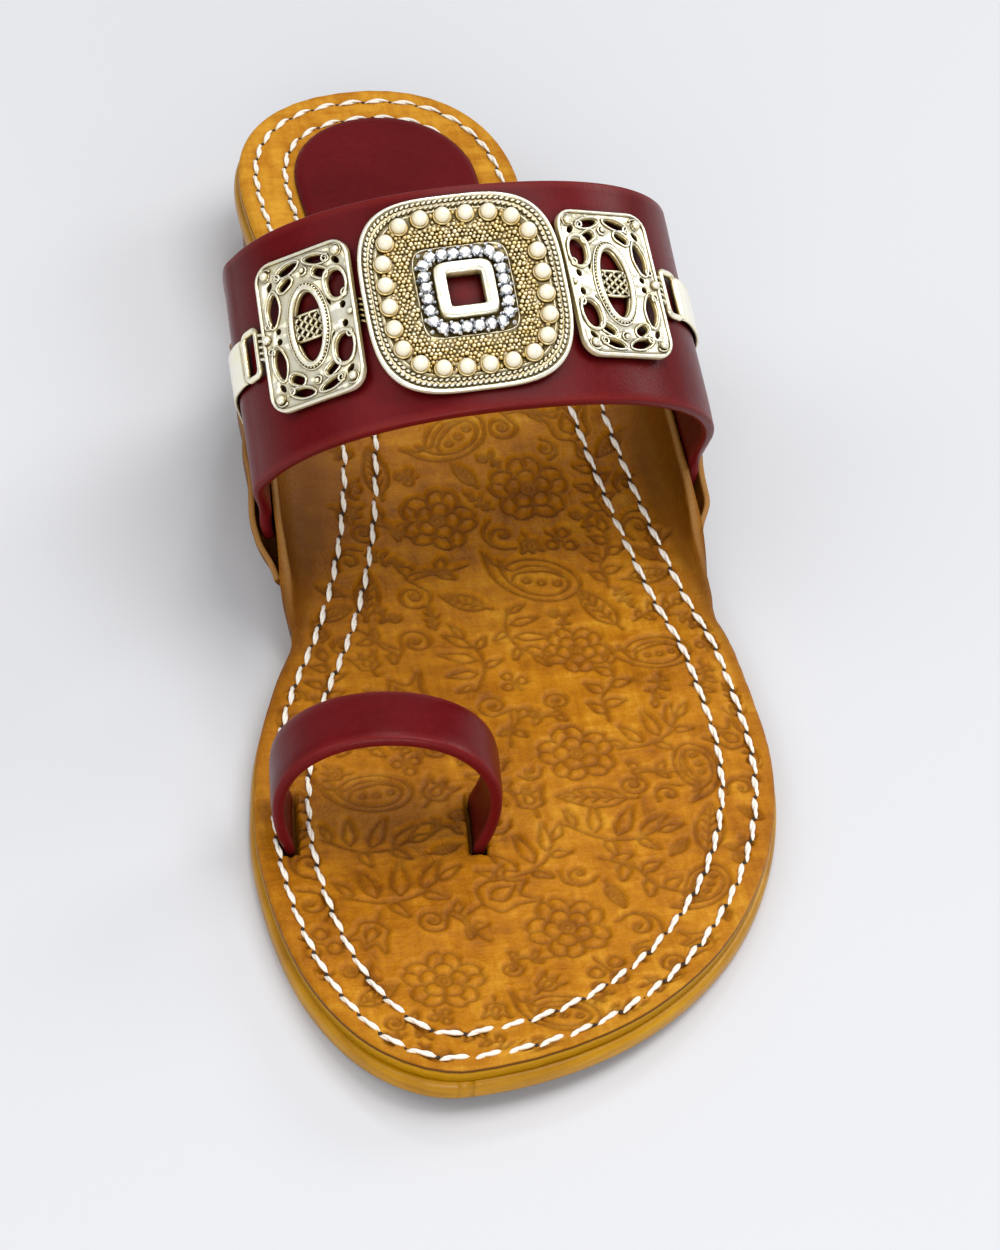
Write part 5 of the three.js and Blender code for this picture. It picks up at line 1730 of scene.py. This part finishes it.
# %% Grains of the ground
dice = np.random.default_rng(7)
pitch = 0.80
gx, gy = np.meshgrid(np.arange(-26, 27) * pitch, np.arange(-30, 31) * pitch * 0.866)
gx = gx + (np.arange(-30, 31)[:, None] % 2) * pitch / 2
grains = np.column_stack([gx.ravel(), gy.ravel()]) + dice.uniform(-0.13, 0.13, (gx.size, 2))
inside = (np.abs(grains[:, 0] / (wide - 3.5)) ** 3.4 + np.abs(grains[:, 1] / (tall - 3.5)) ** 3.4) < 1
inside &= (np.abs(grains[:, 0] / 8.85) ** 7 + np.abs(grains[:, 1] / 8.85) ** 7) > 1
apart = np.linalg.norm(grains[:, None] - pearl_spots[None, :, :2], axis=-1).min(1)
grains = grains[inside & (apart > 1.8)]
grain_places = np.column_stack([grains, 1.4 + dice.uniform(-0.05, 0.35, len(grains))])
beads("medallion_grains", medallion_at, grain_places, dice.uniform(0.30, 0.50, len(grains)), warm_gold,
      "medallion", ball(6, 4, -0.4))
print("Grains:", len(grain_places))

# %% [markdown]
# The stones sit in a channel round the frame, held by small prongs. Each is turned a little, because
# that is what makes a row of stones sparkle unevenly.

# %% Stones and prongs
def cut_stone():
    """A round brilliant: an eight-sided table, a band of kite facets and a girdle."""
    a = np.arange(8) * math.pi / 4

    def octagon(radius, height, ahead=0.0):
        return np.column_stack([radius * np.cos(a + ahead), radius * np.sin(a + ahead), np.full(8, height)])

    rings = [octagon(0.52, 0.62), octagon(0.80, 0.42, math.pi / 8), octagon(1.0, 0.12), octagon(0.7, -0.35)]
    faces = [list(range(8)), list(range(31, 23, -1))]
    for k in range(8):
        n = (k + 1) % 8
        faces += [[k, 8 + k, n], [k, 16 + k, 8 + k], [n, 8 + k, 16 + n], [8 + k, 16 + k, 16 + n],
                  [16 + k, 24 + k, 24 + n, 16 + n]]
    return np.concatenate(rings), faces


stone_count = 24
stone_spots, stone_ahead = even(squircle(6.85, 6.85, 6, 2.0, 1440), stone_count, 0.5)
tilt = dice.uniform(-0.4, 0.4, (stone_count, 3)) * [1, 1, 0]
beads("medallion_stones", medallion_at, stone_spots, 1.16, crystal, "medallion", cut_stone(),
      stone_ahead + tilt)
prongs = np.concatenate([even(squircle(half, half, 7, 2.05, 1440), stone_count)[0] for half in (5.85, 7.9)])
beads("medallion_prongs", medallion_at, prongs, 0.42, crystal, "medallion", ball(7, 4, -1))
print("Stones:", len(stone_spots), "held by", len(prongs), "prongs")

# %% [markdown]
# ## Side plates
# A side plate is a pierced cast sheet. Holes could be cut one by one with booleans. Blender also fills a
# flat curve that has holes and rounds its edges, all in one step, which is how the sheet is made here.

# %% Outlines and the pierced sheet
plate_step, plate_width, plate_length, plate_corner = 27.4, 19.4, 27.8, 3.2


def rounded_rectangle(width, length, corner, steps=7):
    out = []
    for k, (sx, sy) in enumerate(((1, 1), (-1, 1), (-1, -1), (1, -1))):
        a = math.pi / 2 * (k + np.linspace(0, 1, steps))
        out.append(np.column_stack([sx * (width / 2 - corner) + corner * np.cos(a),
                                    sy * (length / 2 - corner) + corner * np.sin(a)]))
    return np.concatenate(out)


def lens(x, y, rx, ry, turn=0.0, point=1.0, count=20):
    """An oval hole; point above 1 makes its ends sharp like a leaf."""
    a = np.arange(count) * 2 * math.pi / count
    p = np.column_stack([rx * np.cos(a), ry * np.sign(np.sin(a)) * np.abs(np.sin(a)) ** point])
    return p @ turned(turn) + [x, y]


def pierced_sheet(loops, low, high, bevel):
    curve = bpy.data.curves.new("sheet", "CURVE")
    curve.dimensions, curve.fill_mode = "2D", "BOTH"
    curve.extrude, curve.bevel_depth, curve.bevel_resolution = (high - low) / 2 - bevel, bevel, 1
    for outline_points in loops:
        spline = curve.splines.new("POLY")
        spline.points.add(len(outline_points) - 1)
        flat = np.column_stack([outline_points, np.zeros(len(outline_points)), np.ones(len(outline_points))])
        spline.points.foreach_set("co", flat.ravel())
        spline.use_cyclic_u = True
    thing = bpy.data.objects.new("sheet", curve)
    bpy.context.scene.collection.objects.link(thing)
    mesh = bpy.data.meshes.new_from_object(thing.evaluated_get(bpy.context.evaluated_depsgraph_get()))
    points = np.empty(len(mesh.vertices) * 3)
    mesh.vertices.foreach_get("co", points)
    faces = [list(face.vertices) for face in mesh.polygons]
    bpy.data.objects.remove(thing)
    bpy.data.curves.remove(curve)
    bpy.data.meshes.remove(mesh)
    return points.reshape(-1, 3) + [0, 0, (low + high) / 2], faces


def flat_spiral(x, y, radius, start, turns, height, count=26):
    a = np.linspace(start, start + turns * 2 * math.pi, count)
    r = np.linspace(radius, radius * 0.25, count)
    return np.column_stack([x + r * np.cos(a), y + r * np.sin(a), np.full(count, height)])

# %% [markdown]
# The holes are listed for one half, and a sign mirrors them to the other, as on the cast plate.

# %% Holes and curls
def plate_holes():
    """The holes of one plate, besides the long oval. x grows towards the medallion."""
    holes = []
    for y_sign in (1, -1):
        holes += [lens(6.35, 5.9 * y_sign, 2.0, 2.75, 8 * y_sign, 0.85),
                  lens(-6.75, 5.0 * y_sign, 1.35, 3.1, -7 * y_sign, 1.35),
                  lens(3.1, 11.45 * y_sign, 0.95, 2.5, 76 * y_sign, 1.3),
                  lens(-2.9, 11.4 * y_sign, 1.0, 2.4, -75 * y_sign, 1.3),
                  lens(3.55, 8.85 * y_sign, 0.95, 1.6, 60 * y_sign, 0.6),
                  lens(-3.7, 8.8 * y_sign, 0.95, 1.6, -58 * y_sign, 0.6),
                  lens(7.2, 1.75 * y_sign, 0.75, 0.85),
                  lens(-6.9, 9.4 * y_sign, 0.65, 1.1, -30 * y_sign, 1.2),
                  lens(-6.3, 0.95 * y_sign, 0.7, 0.75),
                  lens(7.0, 10.1 * y_sign, 0.7, 1.15, 40 * y_sign),
                  lens(0.1, 9.75 * y_sign, 0.5, 0.55),
                  lens(4.55, 3.2 * y_sign, 0.4, 1.0, 22 * y_sign)]
    return holes


# Curls: x, y, radius, start angle, turns
curls = [(7.4, 11.6, 1.3, 2.6, -1.4), (-7.3, 11.5, 1.25, 0.6, 1.4), (0.3, 10.2, 0.9, 4.2, 1.3),
         (8.0, 3.6, 0.8, 1.0, 1.2), (-8.2, 2.4, 0.8, 1.0, -1.2), (5.0, 11.0, 0.8, 0.5, 1.2),
         (-5.2, 10.4, 0.8, 2.2, -1.2)]
print("Holes in a side plate:", len(plate_holes()) + 1)

# %% [markdown]
# Wires round the holes, the curls and a woven bar across the long oval are laid on the sheet, and the
# whole is gathered as one mesh. Rows of beads would be slow to model one by one, so `beads` sets them.

# %% Build a side plate
def side_plate(name, side, node):
    """The plate is mirrored for its side, so x always grows towards the medallion."""
    face = face_frame(side * plate_step)
    flip = np.array([-side, 1.0])
    holes = plate_holes()
    oval = lens(0, 0, 2.9, 6.6, 0, 1.0, 40)
    loops = [rounded_rectangle(plate_width - 0.5, plate_length - 0.5, plate_corner), oval, *holes]
    parts = Parts()
    parts.add(*pierced_sheet([loop * flip for loop in loops], 0.35, 1.4, 0.2))

    def wire(line, radius, height, sides=6):
        parts.add(*tube(np.column_stack([line * flip, np.full(len(line), height)]), radius, sides))

    wire(rounded_rectangle(plate_width - 0.7, plate_length - 0.7, plate_corner), 0.36, 1.35, 8)
    wire(lens(0, 0, 3.4, 7.1, 0, 1.0, 56), 0.5, 1.6, 8)
    wire(lens(0, 0, 4.25, 8.0, 0, 1.0, 56), 0.2, 1.45)
    for k, hole in enumerate(holes):
        middle = hole.mean(0)
        if k % 12 < 6:
            largest = k % 12 == 0
            wire((hole - middle) * 1.13 + middle, 0.32 if largest else 0.22, 1.46, 8 if largest else 6)
    for x, y, radius, start, turns in curls:
        for y_sign in (1, -1):
            line = flat_spiral(x, y, radius, start, turns, 1.5) * [-side, y_sign, 1]
            parts.add(*tube(line, np.linspace(0.24, 0.14, len(line)), 6, False))
    bar_half = 2.35
    bar = lens(0, 0, 3.1, 6.8, 0, 1.0, 40)
    parts.add(*pierced_sheet([bar[np.abs(bar[:, 1]) < bar_half]], 0.4, 0.75, 0.05))
    for k in range(6):
        y = np.linspace(-bar_half, bar_half, 25)
        x = (k - 2.5) * 0.98 + 0.27 * np.sin(y * 4.2 + k * math.pi)
        z = 1.15 + 0.16 * np.cos(y * 4.2 + k * math.pi)
        parts.add(*tube(np.column_stack([x, y, z]), 0.3, 6, False))
    for y in (-bar_half, bar_half):
        parts.add(*tube([(-3.0, y, 1.3), (0, y, 1.3), (3.0, y, 1.3)], 0.26, 6, False))
    plate = parts.piece(name, face, gold)
    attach(plate, "root")
    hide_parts(node)
    oval_row = np.column_stack([lens(0, 0, 3.85, 7.55, 0, 1.0, 56), np.full(56, 1.5)])
    more, _ = even(oval_row, round(length_of(oval_row) / 0.66))
    beads(name + "_beads", face, more, 0.3, gold, node, ball(6, 4, -0.4))
    balls = np.array([(7.5, 11.6, 1.75), (7.5, -11.6, 1.75), (-7.4, 11.5, 1.75), (-7.4, -11.5, 1.75),
                      (-8.7, 0, 1.6), (8.6, 0, 1.45), (0.2, 10.2, 1.6), (0.2, -10.2, 1.6)]) * [-side, 1, 1]
    sizes = [0.85, 0.8, 0.8, 0.85, 0.85, 0.6, 0.5, 0.5]
    beads(name + "_balls_smooth", face, balls, sizes, gold, node, ball(14, 9, -0.8))
    return plate


for toe_word, side, node_word in (("big_toe", -1, "medial"), ("little_toe", 1, "lateral")):
    plate = side_plate(f"side_plate_{toe_word}", side, f"side_plate_{node_word}")
    print(plate.name, len(plate.data.polygons), "faces")

# %% [markdown]
# ## Links, rings and tabs
# Short coils of wire hinge the plates to the medallion and to the end rings. A flat tab starts beside each
# ring and runs down the strap to the ear.

# %% Coils
def coil(length, radius, wire, turns):
    a = np.linspace(0, turns * 2 * math.pi, int(turns * 14))
    y = np.linspace(-length / 2, length / 2, len(a))
    path = np.column_stack([radius * np.cos(a), y, radius * np.sin(a)])
    return tube(path, wire, 6, False, (0, 1.0, 0))


def metal(name, parts, face, node):
    piece = parts.piece(name, face, gold)
    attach(piece, "root")
    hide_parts(node)
    return piece


# %% [markdown]
# Each piece takes its place from the one before it, counted along the strap from the medallion. A tab
# follows the strap's lines down to the ear, so it is a shell on them.

# %% Make links, rings and tabs
coil_radius, ring_length, ring_width, ring_corner = 0.85, 5.6, 9.6, 1.2
tab_width, tab_thickness = 8.4, 0.75
coil_reach = plate_step + plate_width / 2 + seat_gap + coil_radius
ring_reach = coil_reach + coil_radius + seat_gap + ring_length / 2
tab_reach = ring_reach + ring_length / 2 + seat_gap
link_reach = plate_step - plate_width / 2
for word, side, node_word in (("big_toe", -1, "medial"), ("little_toe", 1, "lateral")):
    link_parts = Parts()
    points, faces = coil(4.6, 0.5, 0.24, 4.5)
    link_parts.add(points + [0, 0, 0.95], faces)
    metal(f"link_{word}", link_parts, face_frame(side * link_reach), f"end_coil_{node_word}")
    coil_parts = Parts()
    points, faces = coil(5.0, 0.56, 0.28, 4.5)
    coil_parts.add(points + [0, 0, seat_gap + coil_radius], faces)
    coil_parts.add(*tube([(0, -2.6, 1.15), (0, 0, 1.15), (0, 2.6, 1.15)], 0.3, 8, False, (0, 0, 1.0)))
    metal(f"coil_{word}", coil_parts, face_frame(side * coil_reach), f"end_coil_{node_word}")
    ring_parts = Parts()
    path = rounded_rectangle(ring_length - ring_corner, ring_width - ring_corner, ring_corner, 8)
    ring_parts.add(*tube(np.column_stack([path, np.full(len(path), seat_gap + 0.6)]), 0.58, 10))
    metal(f"ring_{word}", ring_parts, face_frame(side * ring_reach), f"end_ring_{node_word}")

    lanes = spaced(tab_width, 0.45, 12, 3) - tab_width / 2
    grid = []
    for lane in lanes:
        line, arc, crown = face_line(ornament_across + lane)
        begin = crown + ornament_arc + side * tab_reach
        end = arc[-1] - 10 if side > 0 else 10.0
        grid.append(read_line(line, arc, begin + (end - begin) * spaced(1.0, 0.02, 26, 3)))
    grid = np.stack(grid, 1)
    outwards = grid_normals(grid)
    outwards = outwards * np.sign((outwards * (grid - strap_foot)).sum(-1, keepdims=True))
    lift = 0.25 * np.exp(-((np.arange(grid.shape[0]) - 4) / 2.2) ** 2)[:, None, None]
    from_start = np.linalg.norm(grid - grid[:1], axis=-1)
    near_end = np.minimum(from_start, np.linalg.norm(grid - grid[-1:], axis=-1))
    near = np.minimum(near_end, (tab_width / 2 - np.abs(lanes))[None])
    tab_face = grid + outwards * (seat_gap + tab_thickness + lift)
    tab = shell(f"tab_{word}", tab_face, -outwards, tab_thickness, round_share(near, 0.4), gold)
    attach(tab, "root")
    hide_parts(f"end_tab_{node_word}")
print("Links, rings and tabs made")

# %% [markdown]
# ## Camera
# The photo was taken from in front and above, a little to the big toe's side. The camera could be placed
# by eye. Here its spot and direction are given in the shoe's own frame, and it turns to the sandal's
# middle with a longer lens.

# %% Camera
camera_spot = np.array([-120.9, -659.8, 469.0])
look = unit(np.array([0.0731, 0.7512, -0.6561]))
look_right = unit(np.array([0.9953, -0.0969, 0.0]))
look_up = np.cross(look_right, look)
focal, zoom, photo_height = 2450, 1.6, 1250
photo_middle, aim_pixel = (500, 625), (767, 650)
aim_across, aim_down = aim_pixel[0] - photo_middle[0], aim_pixel[1] - photo_middle[1]
aim = unit(look * focal + look_right * aim_across - look_up * aim_down)
turn = Vector(look).rotation_difference(Vector(aim)).to_matrix()
view_axes = [turn @ Vector(v) for v in (look_right, look_up, -look)]
camera = bpy.data.objects.new("camera", bpy.data.cameras.new("camera"))
camera.data.lens, camera.data.sensor_width = focal * zoom * 36 / photo_height, 36
camera.matrix_world = Matrix.Translation(Vector(to_row(camera_spot))) @ Matrix(
    [[view_axes[c][r] for c in range(3)] for r in range(3)]).to_4x4()
bpy.context.scene.collection.objects.link(camera)
bpy.context.scene.camera = camera
print("Camera at", [round(c, 3) for c in camera.matrix_world.translation], "lens", round(camera.data.lens, 1))

# %% [markdown]
# ## Floor and light
# The sandal stands on pale paper in a bright room. A large soft key light hangs above on the right, and a
# low one rakes across the leather from behind, so the shadow falls softly to the left. A front light and
# a fill keep the strap's face readable. A small light behind catches the metal and the lips of the tooled
# lines.

# %% Floor and light
floor_mesh = plain_mesh("floor", [(-3, -3, 0), (3, -3, 0), (3, 3, 0), (-3, 3, 0)], [(0, 1, 2, 3)])
floor = bpy.data.objects.new("floor", floor_mesh)
paper = Finish("pale_floor", (0.8, 0.81, 0.84), 0.9, Specular_IOR_Level=0.0)
paper.color(paper.ramp(paper.noise(3), [(0.3, (0.626, 0.633, 0.658)), (0.7, (0.640, 0.647, 0.673))]))
floor_mesh.materials.append(paper.material)
bpy.context.scene.collection.objects.link(floor)
world = bpy.data.worlds.new("studio")
world.use_nodes = True
world.node_tree.nodes["Background"].inputs[0].default_value = (1, 1, 1, 1)
world.node_tree.nodes["Background"].inputs[1].default_value = 0.36
bpy.context.scene.world = world
bpy.context.scene.view_settings.view_transform = "Standard"


def softbox(name, place, target, size, watts):
    light = bpy.data.lights.new(name, "AREA")
    light.shape, light.size, light.size_y, light.energy = "RECTANGLE", size[0], size[1], watts
    thing = bpy.data.objects.new(name, light)
    thing.location = place
    thing.rotation_euler = (Vector(target) - Vector(place)).to_track_quat("-Z", "Y").to_euler()
    bpy.context.scene.collection.objects.link(thing)


softbox("key", (0.40, 0.00, 1.25), (0, 0, 0), (0.8, 0.8), 9.0)
softbox("rake", (1.05, 0.45, 0.62), (0, -0.03, 0), (0.5, 0.4), 3.5)
softbox("front", (-0.15, -1.15, 0.55), (0, 0, 0.03), (0.9, 0.5), 8.0)
softbox("fill", (-0.8, -0.2, 1.0), (0, 0, 0), (0.9, 0.9), 4.0)
softbox("sparkle", (0.12, 0.60, 0.95), (0, 0.02, 0.06), (0.18, 0.18), 1.3)
